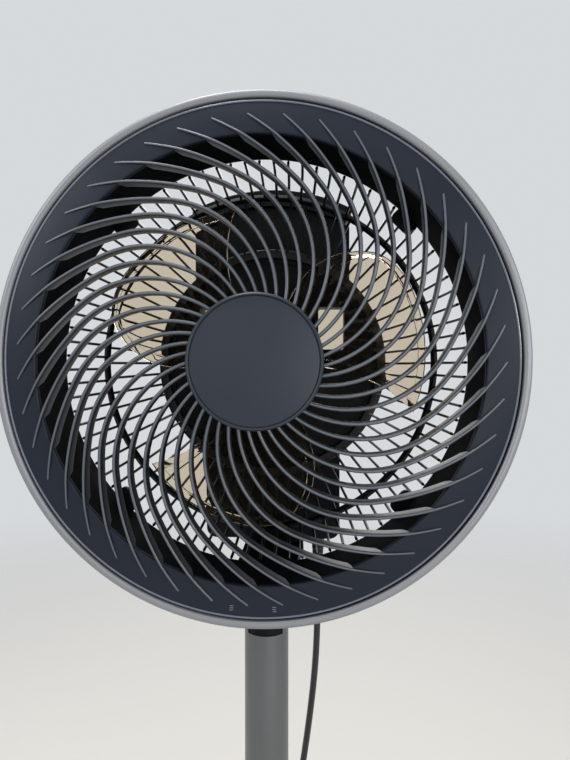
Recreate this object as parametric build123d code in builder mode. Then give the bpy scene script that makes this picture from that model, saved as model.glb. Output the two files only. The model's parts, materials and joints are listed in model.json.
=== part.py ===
from build123d import *
import math
import os

# An air circulator fan on a pole. Millimetres, +Z up, the fan blows towards -Y.
# The origin is the middle of the base on the floor, and the pole stands on the Z axis.
# "depth" is a distance forward of the pole's axis, towards -Y.
# "radius" on the head is measured from the fan's axis.

os.makedirs("parts", exist_ok=True)

# ---------------------------------------------------------------- fits and walls
skin = 2.5               # wall of a moulded shell
seat_gap = 0.3           # between pieces that lie against one another
running_fit = 0.05       # radial play of a shaft in its bush
thrust_gap = 0.1         # axial play of a turning piece
screw_play = 0.2         # radial play of a screw in its hole

# ---------------------------------------------------------------- heights
fan_height = 800.0       # floor to the fan's axis

# ---------------------------------------------------------------- front of the head
trim_radius = 175.0
trim_wall = 2.5
trim_lip_radius = 168.0
trim_front = 73.5
trim_back = 42.0
trim_lip_round = 2.2
trim_edge_round = 3.0
face_outer = 166.8       # dark front ring, outer and inner edge
face_inner = 144.3
face_edge_depth = 72.3
face_crest_depth = 76.5
face_skirt_depth = 60.0
face_edge_round = 1.2
face_crest_round = 1.0
face_step = 1.1          # extra wall at the front ring's inner edge
hub_radius = 43.0        # middle of the front grille
hub_back = 80.0
hub_front = 85.6
cap_crown = 4.2          # hub cap, from its rim's back to its middle
cap_rim = 2.0
cap_bead = 0.9           # the bead round the cap, its height and half its width
cap_bead_inset = 2.2
cap_bow = 0.5            # how far the cap has dropped half way out
peg_wall = 2.0

rib_count = 43
rib_width = 2.4
rib_tip_radius = 157.0
rib_hub_angle = 71.2     # where a rib leaves the hub, seen from the front
rib_leave_angle = 16.4   # how far it leans from straight outwards there
rib_inner_radius = 70.4  # its tight inner arc, and how far that turns
rib_inner_turn = 79.4
rib_outer_radius = 194.0  # its slack outer arc, and how far that turns
rib_outer_turn = 19.7
rib_notch_radius = 144.0
rib_hub_depth = 4.7      # front to back, at the hub
rib_fin_depth = 9.2      # front to back, at the notch
rib_rise = 1.7           # above the front ring's inner edge
rib_root_inset = 1.5     # how far inside the hub's edge a rib starts
rib_tip_width = 1.8
rib_overlap = 1.3        # how far a rib's foot sinks into the front ring
rib_tip_back = 0.3       # a rib's back and front over the ring's outer edge
rib_tip_front = 1.8
hub_overlap = 4.0        # how far the ribs run into the hub

# ---------------------------------------------------------------- body of the head
duct_radius = 145.8
frame_back = 28.0
frame_lip = 66.0
frame_corner = 9.0
duct_edge_round = 1.0
grille_screw_radius = 156.0
grille_screws_count = 4
post_radius = 4.5
screw_radius = 1.6
screw_head_radius = 3.6
screw_head_height = 2.2
screw_slot = (4.2, 1.0)  # one bar of the cross in a screw's head
screw_slot_depth = 1.2
grille_screw_length = 24.0
post_hole_depth = 22.0
post_overlap = 1.0       # how far a post runs into the front ring
neck_screw_length = 12.0
cover_screw_length = 8.0
board_peg_radius = 2.4
board_thickness = 1.6
cut_length = 30.0        # longer than any wall that is cut through

# rear grille: a bowl, in section an arc about this centre
bowl_centre_radius = 55.0
bowl_centre_depth = 32.0
bowl_radius = 91.0
rim_angle = -3.0         # along the arc: rim, stiffening ring and disc ring
stiffener_angle = -32.0
disc_angle = -64.0
wire_width = 2.0
wire_depth = 3.0
outer_wires = 87
inner_wires = 66
rim_width = 9.0
rim_thickness = 5.0
rim_inset = 1.3          # how far the rim reaches inside the duct
rim_flare = 3.0          # how much wider it opens at its back
rim_round = 2.0
stiffener_half_angle = 1.4
stiffener_proud = 0.6    # above the wires, in front and behind
pad_width = 18.0
pad_round = 4.0
pad_margin = 3.0         # beyond the screw's head
pad_inner_radius = 137.0
disc_ring_radius = 93.0
disc_ring_wall = 4.0
disc_lip = 3.5
disc_ring_round = 1.0
touch_angles = (263, 277)
touch_board_angles = (250, 290)
touch_board_margin = 1.5
touch_pad_radius = 3.5
touch_pad_height = 1.8

# ---------------------------------------------------------------- motor
plate_thickness = 3.0
plate_front = -50.0
motor_radius = 44.0
motor_front = 5.0
lug_radius = 52.0
lug_count = 3
lug_start = 90.0         # angle of the first lug
lug_screw_inset = 4.0
lug_width = 12.0
lug_thickness = 3.5
lug_screw_depth = 6.5
motor_front_round = 5.0
plate_bead_radius = 86.7
plate_bead_width = 1.5
plate_bead_height = 0.8
collar_wall = 2.0        # round the shaft, at the front of the motor case
shaft_radius = 4.0
bearing_radius = 11.0
bearing_width = 7.0
stator_outer = 38.0
stator_inner = 22.0
stator_back = -36.0
stator_front = -14.0
stator_slots = 9
stator_rim = 3.0
pole_width = 4.0
pole_shoe = (3.0, 12.0)
winding_width = 9.0
winding_over = 3.0       # how far a coil stands out of the stator
rotor_gap = 0.8
rotor_pocket_radius = 3.0
rotor_pocket_depth = 4.0
rotor_pockets = 6
shield_depth = 0.5
bearing_set_back = 0.2

# ---------------------------------------------------------------- impeller
blade_count = 3
blade_tip_radius = 117.0
blade_thickness = 2.2
blade_rim_thickness = 3.8
blade_rim_width = 5.5
impeller_hub_radius = 30.0
impeller_back = 12.0
impeller_front = 46.0
blade_middle_depth = 33.0
shaft_front = 53.0
nut_radius = 13.0
nut_length = 9.0
nut_knurls = 18
knurl_radius = 0.9
collar_radius = 9.0      # the impeller's own collar on the shaft
collar_clearance = 3.0
cup_corner = 5.0
blade_sheet_angle = 20.0 # the way a blade's sheet faces outwards
blade_stations = ((20.0, 34.0), (125.0, 12.0))  # distance out, and pitch
blade_sheet_width = 260.0
blade_room_behind = 10.0
chamfer_size = 0.8

# ---------------------------------------------------------------- spine behind the disc
spine_half_width = 66.5
spine_bottom = -70.5     # heights on the spine and neck are from the fan's axis
spine_top_radius = 134.0
spine_back = -72.0
window_inner = 40.0
window_outer = 62.0
window_bottom = 12.0
window_top = 48.0
handle_radius = 148.0
handle_half_angle = 28.0
handle_front = -50.0
handle_back = -76.0
handle_round = 3.0
spine_corner = 6.0
spine_overrun = 20.0     # past the round top and the straight foot
window_corner = 2.0
driver_board_at = (0, 104)
driver_board_size = (70, 40)
driver_peg_offset = (31, 16)
driver_board_lift = 5.0
chip_at = ((-18, 108), (4, 108), (22, 96))
chip_size = (12, 9)
chip_height = 2.4
ear_inner = 31.0
ear_thickness = 8.0
ear_radius = 12.0
tilt_depth = -92.0       # depth of the tilt shaft
tilt_shaft_radius = 5.0

# ---------------------------------------------------------------- neck
column_half_width = 29.5
column_radius = 19.5
column_overlap = 12.0    # how far the column's hollow runs down into the block
block_half_width = 59.0
block_top = -72.0
block_bottom = -155.0
block_front = -62.0
block_corner = 9.0
arm_half_width = 24.0
arm_top = -158.0
arm_bottom = -186.0
neck_split = -103.0
relief_x = 40.0          # where the cord leaves the neck
relief_depth = -88.0
relief_length = 35.0
relief_top_radius = 6.5
relief_end_radius = 3.9
relief_collar_radius = 4.7
relief_hole_radius = 5.0
relief_flange = 2.0
relief_groove = (6.0, 4.0, 1.4)  # first groove, pitch and width
relief_groove_count = 5
bush_wall = 3.0
bush_flange = 2.0
neck_screw_at = [(-46, -86), (46, -86), (-46, -141), (46, -141)]
board_peg_at = [(-36, -90), (36, -90), (-36, -136), (36, -136)]
power_board_middle = -113.0
power_board_size = (84, 56)
transformer_at = (-24, -118)
transformer_size = (24, 20)
capacitor_at = ((24, -98), (10, -98))
capacitor_radius = 5.0
filter_at = (18, -126)
filter_size = (18, 12)
power_part_height = 14.0
power_board_lift = 3.0

# ---------------------------------------------------------------- gears
gear_module = 1.0
wheel_teeth = 28
pinion_teeth = 10
gear_thickness = 6.0
gearmotor_radius = 14.0
gearmotor_length = 15.0
motor_shaft_offset = 8.0
motor_flange = (6.0, 7.0, 1.2)   # extra width, height and thickness
pinion_bore = 2.5
tilt_gear_x = -21.0      # the gear's outer face, on the left side of the column
clip_thickness = 1.2
clip_width = 3.5
clip_end = 3.0

# ---------------------------------------------------------------- pole and pan bearing
pole_radius = 17.0
pole_wall = 1.8
pole_top = -190.3
pole_seam = 420.0        # height of the joint above the floor
joiner_length = 80.0
notch_width = 26.4
notch_bottom = -206.0
insert_length = 50.0
spindle_radius = 9.0
spindle_bore = 6.0
spindle_top = -163.0
washer_radius = 20.0
washer_thickness = 1.8
insert_floor = 8.0
notch_play = 0.6
pan_nut_radius = 12.0
pan_nut_height = 5.0

# ---------------------------------------------------------------- base
base_radius = 150.0
base_wall = 3.0
base_rim_bottom = 5.0
base_rim_top = 12.0
base_shoulder = 19.0
base_top = 32.0
foot_height = 4.7
foot_radius = 12.0
foot_circle = 122.0
foot_count = 5
weight_outer = 118.0
weight_inner = 28.0
weight_thickness = 7.2
socket_radius = 21.5
socket_height = 70.0
socket_flange = 46.0
flange_thickness = 3.7
base_screw_circle = 37.0
base_screw_count = 6
cover_screw_circle = 136.0
cover_hole_depth = 7.0
cover_rounds = [0, 20, 6, 2, 0, 0, 4, 8, 20, 1]
base_screw_radius = 2.2
base_head_radius = 4.5
base_head_height = 2.5
socket_edge_round = 1.5
socket_screw_height = 52.0
joiner_wall = 2.0

# ---------------------------------------------------------------- mains lead
cord_radius = 3.0
coil_outer = 42.0        # radius of the outermost turn's middle line
coil_gap = 0.6           # between turns and between layers
coil_turns = 5
coil_centre = (104.0, 215.0)
tie_thickness = 0.8
tie_width = 7.0
tie_corner = 1.7
plug_length = 38.0
plug_width = 27.0
pin_radius = 2.4
pin_length = 19.0
pin_spacing = 19.0
exit_run = 24.0          # from the coil to the plug
plug_neck_wall = 1.4
plug_stations = (0.45, 0.7)      # shares of its length where the plug widens
plug_waist = (0.62, 0.65)        # its width and height there, as shares
plug_rounds = (3.0, 4.0)

# ================================================================ planes and helpers
fan = Plane(origin=(0, 0, fan_height), x_dir=(1, 0, 0), z_dir=(0, -1, 0))
fan_section = Plane(origin=(0, 0, fan_height), x_dir=(1, 0, 0), z_dir=(0, 0, -1))
fan_axis = Axis((0, 0, fan_height), (0, -1, 0))
side = Plane(origin=(0, 0, fan_height), x_dir=(0, -1, 0), z_dir=(-1, 0, 0))
level = Plane.XY.offset(fan_height)
big = 4 * trim_radius


def outline(plane, points, radii=None):
    """A closed outline on a plane, with each corner rounded by its own radius."""
    with BuildSketch(plane) as sketch:
        with BuildLine():
            if radii:
                FilletPolyline(*points, radius=radii, close=True)
            else:
                Polyline(*points, close=True)
        make_face()
    return sketch.sketch


def disc(plane, radius, bore=0.0, at=((0, 0),)):
    """Equal discs on a plane, each with a bore where one is given."""
    with BuildSketch(plane) as sketch:
        with Locations(*at):
            Circle(radius)
            if bore:
                Circle(bore, mode=Mode.SUBTRACT)
    return sketch.sketch


def around(radius, count, start=0.0):
    """Points spaced evenly on a circle, from a start angle in degrees."""
    return [polar(radius, start + 360.0 * i / count) for i in range(count)]


def polar(radius, angle):
    """The point at a radius and an angle in degrees."""
    return (radius * math.cos(math.radians(angle)), radius * math.sin(math.radians(angle)))


def copies(solid, axis, count):
    """A solid repeated round an axis."""
    return [solid.rotate(axis, 360.0 * i / count) for i in range(count)]


def cross_slots(plane, at):
    """The crosses in a set of screw heads."""
    with BuildSketch(plane) as sketch:
        with Locations(*at):
            Rectangle(*screw_slot)
            Rectangle(*reversed(screw_slot))
    return sketch.sketch


def gear_sketch(plane, teeth, bore, start, at=(0, 0)):
    """A spur gear outline whose first tooth points along the start angle."""
    pitch = gear_module * teeth / 2
    root = pitch - 1.2 * gear_module
    tip = pitch + 0.85 * gear_module
    step = 360.0 / teeth
    points = []
    for tooth in range(teeth):
        middle = start + tooth * step
        points.append(polar(root, middle - 0.32 * step))
        points.append(polar(tip, middle - 0.13 * step))
        points.append(polar(tip, middle + 0.13 * step))
        points.append(polar(root, middle + 0.32 * step))
    with BuildSketch(plane) as sketch:
        with Locations(at):
            with BuildSketch(mode=Mode.PRIVATE) as wheel:
                with BuildLine():
                    Polyline(*points, close=True)
                make_face()
                Circle(bore, mode=Mode.SUBTRACT)
            add(wheel.sketch)
    return sketch.sketch


# ================================================================ front of the head
# silver trim ring that clips over the rim of the head
with BuildPart() as trim_ring:
    trim_inside = trim_radius - trim_wall
    trim_profile = [
        (trim_lip_radius, frame_lip + seat_gap),
        (trim_lip_radius, trim_front),
        (trim_radius, trim_front),
        (trim_radius, trim_back),
        (trim_inside, trim_back),
        (trim_inside, frame_lip + seat_gap),
    ]
    trim_rounds = [0, trim_lip_round, trim_edge_round, 0, 0, 0]
    revolve(outline(fan_section, trim_profile, trim_rounds), axis=fan_axis)
trim_ring.part.label = "trim_ring"
export_step(trim_ring.part, "parts/trim_ring.step")

frame_radius = trim_radius - trim_wall - seat_gap
post_back = frame_back + skin + seat_gap
post_at = around(grille_screw_radius, grille_screws_count, 45)
duct_front = face_crest_depth - skin - seat_gap - face_step

# one spiral rib: a tight arc off the hub runs on into a slack arc to its tip
rib_start = polar(hub_radius - rib_root_inset, rib_hub_angle)
rib_from = rib_hub_angle + rib_leave_angle - 90
rib_bend = rib_from + rib_inner_turn
rib_to = rib_bend + rib_outer_turn
start_x, start_y = polar(rib_inner_radius, rib_from)
inner_centre = (rib_start[0] - start_x, rib_start[1] - start_y)
bend_x, bend_y = polar(rib_outer_radius - rib_inner_radius, rib_bend)
outer_centre = (inner_centre[0] - bend_x, inner_centre[1] - bend_y)


def on_inner(angle, offset):
    """A point beside the rib's inner arc, by its angle about the arc's centre."""
    x, y = polar(rib_inner_radius + offset, angle)
    return (inner_centre[0] + x, inner_centre[1] + y)


def on_outer(angle, offset):
    """A point beside the rib's outer arc, by its angle about the arc's centre."""
    x, y = polar(rib_outer_radius + offset, angle)
    return (outer_centre[0] + x, outer_centre[1] + y)


with BuildPart(mode=Mode.PRIVATE) as rib:
    with BuildSketch(fan.offset(frame_lip)):
        with BuildLine():
            half = rib_width / 2
            tip = rib_tip_width / 2
            slim = (half + tip) / 2
            early = (rib_from + rib_bend) / 2
            late = (rib_bend + rib_to) / 2
            ThreePointArc(on_inner(rib_from, half), on_inner(early, half), on_inner(rib_bend, half))
            ThreePointArc(on_inner(rib_from, -half), on_inner(early, -half), on_inner(rib_bend, -half))
            ThreePointArc(on_outer(rib_bend, half), on_outer(late, slim), on_outer(rib_to, tip))
            ThreePointArc(on_outer(rib_bend, -half), on_outer(late, -slim), on_outer(rib_to, -tip))
            Line(on_inner(rib_from, half), on_inner(rib_from, -half))
            Line(on_outer(rib_to, tip), on_outer(rib_to, -tip))
        make_face()
    extrude(amount=cut_length)
    notch_front = face_crest_depth + rib_rise
    rib_envelope = [
        (hub_radius - hub_overlap, hub_front - rib_hub_depth),
        (rib_notch_radius, notch_front - rib_fin_depth),
        (rib_notch_radius, face_crest_depth - rib_overlap),
        (rib_tip_radius + rib_width, face_edge_depth + rib_tip_back),
        (rib_tip_radius + rib_width, face_edge_depth + rib_tip_front),
        (face_inner, notch_front),
        (hub_radius - hub_overlap, hub_front),
    ]
    revolve(outline(fan_section, rib_envelope), axis=fan_axis, mode=Mode.INTERSECT)

# dark front ring, spiral ribs and hub, moulded in one
with BuildPart() as front_grille:
    face_profile = [
        (face_outer, face_skirt_depth),
        (face_outer, face_edge_depth),
        (face_inner, face_crest_depth),
        (face_inner, duct_front + seat_gap),
        (face_inner + skin, duct_front + seat_gap),
        (face_outer - skin, face_edge_depth - skin),
        (face_outer - skin, face_skirt_depth),
    ]
    face_rounds = [0, face_edge_round, face_crest_round, 0, 0, 0, 0]
    revolve(outline(fan_section, face_profile, face_rounds), axis=fan_axis)
    hub_profile = [
        (0, hub_back),
        (hub_radius, hub_back),
        (hub_radius, hub_front),
        (hub_radius - skin, hub_front),
        (hub_radius - skin, hub_back + skin),
        (0, hub_back + skin),
    ]
    revolve(outline(fan_section, hub_profile), axis=fan_axis)
    add(copies(rib.part, fan_axis, rib_count))
    post_face = face_edge_depth - skin + post_overlap
    extrude(disc(fan.offset(post_back), post_radius, 0, post_at), amount=post_face - post_back)
    screw_hole = disc(fan.offset(post_back), screw_radius + screw_play, 0, post_at)
    extrude(screw_hole, amount=post_hole_depth, mode=Mode.SUBTRACT)
front_grille.part.label = "front_grille"
export_step(front_grille.part, "parts/front_grille.step")

# domed cap that snaps into the hub
with BuildPart() as hub_cap:
    cap_back = hub_front + seat_gap
    peg_radius = hub_radius - skin - seat_gap
    peg_foot = hub_back + skin + seat_gap
    with BuildSketch(fan_section):
        with BuildLine():
            cap_edge = (hub_radius + seat_gap, cap_back)
            cap_shoulder = (hub_radius + seat_gap, cap_back + cap_rim)
            Line((0, cap_back + cap_crown - skin), (0, cap_back + cap_crown))
            ThreePointArc(
                (0, cap_back + cap_crown),
                (hub_radius / 2, cap_back + cap_crown - cap_bow),
                (hub_radius - cap_bead_inset, cap_back + cap_rim),
            )
            ThreePointArc(
                (hub_radius - cap_bead_inset, cap_back + cap_rim),
                (hub_radius - cap_bead, cap_back + cap_rim + cap_bead),
                cap_shoulder,
            )
            Line(cap_shoulder, cap_edge)
            Line(cap_edge, (peg_radius, cap_back))
            Line((peg_radius, cap_back), (peg_radius, peg_foot))
            Line((peg_radius, peg_foot), (peg_radius - peg_wall, peg_foot))
            Line((peg_radius - peg_wall, peg_foot), (peg_radius - peg_wall, cap_back))
            Line((peg_radius - peg_wall, cap_back), (0, cap_back + cap_crown - skin))
        make_face()
    revolve(axis=fan_axis)
hub_cap.part.label = "hub_cap"
export_step(hub_cap.part, "parts/hub_cap.step")

# ================================================================ body of the head
# channel-shaped frame whose inner wall is the air duct
with BuildPart() as head_frame:
    frame_profile = [
        (duct_radius, duct_front - seat_gap),
        (duct_radius, frame_back),
        (frame_radius, frame_back),
        (frame_radius, frame_lip),
        (frame_radius - skin, frame_lip),
        (frame_radius - skin, frame_back + skin),
        (duct_radius + skin, frame_back + skin),
        (duct_radius + skin, duct_front - seat_gap),
    ]
    corner_radii = [0, duct_edge_round, frame_corner, 0, 0, frame_corner - skin, 0, 0]
    revolve(outline(fan_section, frame_profile, corner_radii), axis=fan_axis)
    hole = disc(fan.offset(frame_back), screw_radius + screw_play, 0, post_at)
    extrude(hole, amount=skin, mode=Mode.SUBTRACT)
head_frame.part.label = "head_frame"
export_step(head_frame.part, "parts/head_frame.step")


def on_bowl(angle, inset):
    """A point of the bowl's section, by its angle about the arc's centre."""
    x, y = polar(bowl_radius - inset, angle)
    return (bowl_centre_radius + x, bowl_centre_depth + y)


def wire_solid(start, end):
    """One wire of the rear grille, along the bowl between two angles."""
    with BuildPart(mode=Mode.PRIVATE) as wire:
        with BuildSketch(fan_section):
            with BuildLine():
                mid = (start + end) / 2
                ThreePointArc(on_bowl(start, 0), on_bowl(mid, 0), on_bowl(end, 0))
                ThreePointArc(
                    on_bowl(start, wire_depth), on_bowl(mid, wire_depth), on_bowl(end, wire_depth)
                )
                Line(on_bowl(start, 0), on_bowl(start, wire_depth))
                Line(on_bowl(end, 0), on_bowl(end, wire_depth))
            make_face()
        extrude(amount=wire_width / 2, both=True)
    return wire.part


rim_front = frame_back - seat_gap
rim_back = rim_front - rim_thickness
rim_radius = duct_radius + rim_width
disc_ring_front = plate_front + seat_gap + skin
disc_ring_back = plate_front - plate_thickness - seat_gap

# bowl-shaped rear grille with its rim, stiffening ring and disc ring
with BuildPart() as rear_grille:
    rim_profile = [
        (duct_radius - rim_inset + rim_flare, rim_back),
        (rim_radius, rim_back),
        (rim_radius, rim_front),
        (duct_radius - rim_inset, rim_front),
    ]
    revolve(outline(fan_section, rim_profile, [0, rim_round, 0, 0]), axis=fan_axis)
    stiffener_profile = [
        on_bowl(stiffener_angle - stiffener_half_angle, -stiffener_proud),
        on_bowl(stiffener_angle + stiffener_half_angle, -stiffener_proud),
        on_bowl(stiffener_angle + stiffener_half_angle, wire_depth + stiffener_proud),
        on_bowl(stiffener_angle - stiffener_half_angle, wire_depth + stiffener_proud),
    ]
    revolve(outline(fan_section, stiffener_profile), axis=fan_axis)
    disc_ring_profile = [
        (disc_ring_radius, disc_ring_back),
        (disc_ring_radius + disc_ring_wall, disc_ring_back),
        (disc_ring_radius + disc_ring_wall, disc_ring_front),
        (disc_ring_radius - disc_lip, disc_ring_front),
        (disc_ring_radius - disc_lip, plate_front + seat_gap),
        (disc_ring_radius, plate_front + seat_gap),
    ]
    disc_ring_rounds = [0, disc_ring_round, disc_ring_round, 0, 0, 0]
    revolve(outline(fan_section, disc_ring_profile, disc_ring_rounds), axis=fan_axis)
    add(copies(wire_solid(rim_angle, stiffener_angle), fan_axis, outer_wires))
    add(copies(wire_solid(stiffener_angle, disc_angle), fan_axis, inner_wires))
    pad_length = grille_screw_radius + screw_head_radius + pad_margin - pad_inner_radius
    pad_middle = pad_inner_radius + pad_length / 2
    with BuildSketch(fan.offset(rim_back)):
        with PolarLocations(pad_middle, grille_screws_count, 45):
            RectangleRounded(pad_length, pad_width, pad_round)
        with Locations(*post_at):
            Circle(screw_radius + screw_play, mode=Mode.SUBTRACT)
    extrude(amount=rim_thickness)
    extrude(
        disc(fan.offset(rim_back), screw_radius + screw_play, 0, post_at),
        amount=rim_thickness,
        mode=Mode.SUBTRACT,
    )
rear_grille.part.label = "rear_grille"
export_step(rear_grille.part, "parts/rear_grille.step")

# four long screws that clamp rear grille, frame and front grille
with BuildPart() as grille_screws:
    head_back = rim_back - screw_head_height
    extrude(
        disc(fan.offset(head_back), screw_head_radius, 0, post_at), amount=screw_head_height
    )
    extrude(disc(fan.offset(rim_back), screw_radius, 0, post_at), amount=grille_screw_length)
    crosses = cross_slots(fan.offset(head_back), post_at)
    extrude(crosses, amount=screw_slot_depth, mode=Mode.SUBTRACT)
grille_screws.part.label = "grille_screws"
export_step(grille_screws.part, "parts/grille_screws.step")

# curved circuit board of the touch keys, behind the bottom of the front ring
face_slope = (duct_front + seat_gap - face_edge_depth + skin) / (face_outer - face_inner - 2 * skin)
pad_reach = grille_screw_radius + touch_pad_radius - face_inner - skin
touch_pad_front = duct_front + seat_gap - pad_reach * face_slope - seat_gap
touch_board_depth = touch_pad_front - touch_pad_height - board_thickness
with BuildPart() as touch_board:
    with BuildSketch(fan.offset(touch_board_depth)):
        Circle(face_outer - skin - touch_board_margin)
        Circle(duct_radius + skin + touch_board_margin, mode=Mode.SUBTRACT)
        with BuildLine():
            Polyline((0, 0), *[polar(big, a) for a in touch_board_angles], close=True)
        make_face(mode=Mode.INTERSECT)
    extrude(amount=board_thickness)
    with BuildSketch(fan.offset(touch_board_depth + board_thickness)):
        with Locations(*[polar(grille_screw_radius, a) for a in touch_angles]):
            Circle(touch_pad_radius)
    extrude(amount=touch_pad_height)
touch_board.part.label = "touch_board"
export_step(touch_board.part, "parts/touch_board.step")

# ================================================================ motor
screw_lugs = around(lug_radius - lug_screw_inset, lug_count, lug_start)
spine_screw_at = [(-45, -50), (45, -50), (-20, 70), (20, 70)]
plate_back = plate_front - plate_thickness
plate_radius = disc_ring_radius - seat_gap
window_size = (window_outer - window_inner, window_top - window_bottom)
window_at = [
    (side_sign * (window_inner + window_outer) / 2, (window_bottom + window_top) / 2)
    for side_sign in (-1, 1)
]

# disc that closes the rear grille and carries the motor
with BuildPart() as motor_plate:
    extrude(disc(fan.offset(plate_back), plate_radius), amount=plate_thickness)
    bearing_seat = bearing_radius + running_fit
    extrude(
        disc(fan.offset(plate_front), bearing_seat + skin, bearing_seat), amount=bearing_width
    )
    with BuildSketch(fan.offset(plate_front)):
        Circle(plate_bead_radius)
        Circle(plate_bead_radius - plate_bead_width, mode=Mode.SUBTRACT)
    extrude(amount=plate_bead_height)
    with BuildSketch(fan.offset(plate_back)):
        with Locations(*window_at):
            RectangleRounded(*window_size, window_corner)
    extrude(amount=plate_thickness, mode=Mode.SUBTRACT)
    extrude(
        disc(fan.offset(plate_back), screw_radius + screw_play, 0, screw_lugs + spine_screw_at),
        amount=plate_thickness,
        mode=Mode.SUBTRACT,
    )
motor_plate.part.label = "motor_plate"
export_step(motor_plate.part, "parts/motor_plate.step")

case_back = plate_front + seat_gap
# cup over the motor, screwed to the disc through three lugs
with BuildPart() as motor_case:
    case_profile = [
        (motor_radius, case_back),
        (motor_radius, motor_front),
        (shaft_radius + collar_wall, motor_front),
        (shaft_radius + collar_wall, motor_front - skin),
        (bearing_seat, motor_front - skin),
        (bearing_seat, motor_front - skin - bearing_width),
        (bearing_seat + skin, motor_front - skin - bearing_width),
        (bearing_seat + skin, motor_front - skin),
        (motor_radius - skin, motor_front - skin),
        (motor_radius - skin, case_back),
    ]
    case_rounds = [0, motor_front_round, 0, 0, 0, 0, 0, 0, motor_front_round - 2, 0]
    revolve(outline(fan_section, case_profile, case_rounds), axis=fan_axis)
    with BuildSketch(fan.offset(case_back)):
        with PolarLocations(motor_radius + 1, lug_count, lug_start):
            RectangleRounded(2 * (lug_radius - motor_radius), lug_width, lug_width / 3)
        Circle(motor_radius - skin, mode=Mode.SUBTRACT)
        with Locations(*screw_lugs):
            Circle(screw_radius + screw_play, mode=Mode.SUBTRACT)
    extrude(amount=lug_thickness)
motor_case.part.label = "motor_case"
export_step(motor_case.part, "parts/motor_case.step")

# three screws that hold the motor
with BuildPart() as motor_screws:
    lug_front = case_back + lug_thickness
    extrude(disc(fan.offset(lug_front), screw_head_radius, 0, screw_lugs), amount=screw_head_height)
    extrude(disc(fan.offset(lug_front), screw_radius, 0, screw_lugs), amount=-lug_screw_depth)
motor_screws.part.label = "motor_screws"
export_step(motor_screws.part, "parts/motor_screws.step")

# laminated stator with nine poles
with BuildPart() as motor_stator:
    with BuildSketch(fan.offset(stator_back)):
        Circle(motor_radius - skin - seat_gap)
        Circle(stator_outer - stator_rim, mode=Mode.SUBTRACT)
        with PolarLocations((stator_outer + stator_inner) / 2, stator_slots):
            Rectangle(stator_outer - stator_inner, pole_width)
        with PolarLocations(stator_inner + pole_shoe[0] / 2, stator_slots):
            Rectangle(*pole_shoe)
        Circle(stator_inner, mode=Mode.SUBTRACT)
    extrude(amount=stator_front - stator_back)
motor_stator.part.label = "motor_stator"
export_step(motor_stator.part, "parts/motor_stator.step")

# one copper coil, wound round a pole of the stator
winding_length = stator_outer - stator_rim - stator_inner - pole_shoe[0] - 1
winding_middle = stator_inner + pole_shoe[0] + seat_gap + winding_length / 2
stator_height = stator_front - stator_back
with BuildPart(mode=Mode.PRIVATE) as winding:
    with BuildSketch(fan.offset(stator_back - winding_over)):
        with Locations((winding_middle, 0)):
            Rectangle(winding_length, winding_width)
    extrude(amount=stator_height + 2 * winding_over)
    with BuildSketch(fan.offset(stator_back - seat_gap)):
        with Locations((winding_middle, 0)):
            Rectangle(winding_length, pole_width + 2 * seat_gap)
    extrude(amount=stator_height + 2 * seat_gap, mode=Mode.SUBTRACT)

# nine copper coils, one round each pole
with BuildPart() as motor_windings:
    add(copies(winding.part, fan_axis, stator_slots))
motor_windings.part.label = "motor_windings"
export_step(motor_windings.part, "parts/motor_windings.step")

rear_bearing_back = plate_front + bearing_set_back
front_bearing_back = motor_front - skin - bearing_set_back - bearing_width
# the two ball bearings of the shaft, with shields
with BuildPart() as motor_bearings:
    for bearing_back in (rear_bearing_back, front_bearing_back):
        extrude(
            disc(fan.offset(bearing_back), bearing_radius, shaft_radius + running_fit),
            amount=bearing_width,
        )
        extrude(
            disc(
                fan.offset(bearing_back + bearing_width),
                bearing_radius - collar_wall,
                shaft_radius + collar_wall,
            ),
            amount=-shield_depth,
            mode=Mode.SUBTRACT,
        )
motor_bearings.part.label = "motor_bearings"
export_step(motor_bearings.part, "parts/motor_bearings.step")

# ================================================================ impeller
# steel shaft through both bearings, threaded at its front
with BuildPart() as motor_shaft:
    shaft_back = plate_front + seat_gap
    extrude(disc(fan.offset(shaft_back), shaft_radius), amount=shaft_front - shaft_back)
    chamfer(motor_shaft.faces().sort_by(fan_axis)[-1].edges(), chamfer_size)
motor_shaft.part.label = "motor_shaft"
export_step(motor_shaft.part, "parts/motor_shaft.step")

# magnet rotor on the shaft
with BuildPart() as motor_rotor:
    extrude(
        disc(
            fan.offset(stator_back),
            stator_inner - rotor_gap,
            shaft_radius + running_fit,
        ),
        amount=stator_front - stator_back,
    )
    with BuildSketch(fan.offset(stator_front)):
        with PolarLocations((stator_inner + shaft_radius) / 2, rotor_pockets):
            Circle(rotor_pocket_radius)
    extrude(amount=-rotor_pocket_depth, mode=Mode.SUBTRACT)
motor_rotor.part.label = "motor_rotor"
export_step(motor_rotor.part, "parts/motor_rotor.step")

# outline of a blade seen from the front, in arcs: each point is a radius and an angle
trailing_edge = [(27, 64), (78, 58.5), (109, 43)]
tip_corner = [(115, 37), (blade_tip_radius, 27)]
tip_angles = [6, -18.5]
leading_edge = [(88, -11.5), (27, -3)]


def blade_outline(plane, inset=0.0):
    """A blade's outline, or the same outline drawn in by an inset."""
    with BuildSketch(plane) as sketch:
        with BuildLine():
            back = ThreePointArc(*[polar(*p) for p in trailing_edge])
            corner = ThreePointArc(back @ 1, *[polar(*p) for p in tip_corner])
            tip = ThreePointArc(corner @ 1, *[polar(blade_tip_radius, a) for a in tip_angles])
            front = ThreePointArc(tip @ 1, *[polar(*p) for p in leading_edge])
            Line(front @ 1, back @ 0)
        make_face()
        if inset:
            offset(amount=-inset, kind=Kind.INTERSECTION, mode=Mode.REPLACE)
    return sketch.sketch


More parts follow.
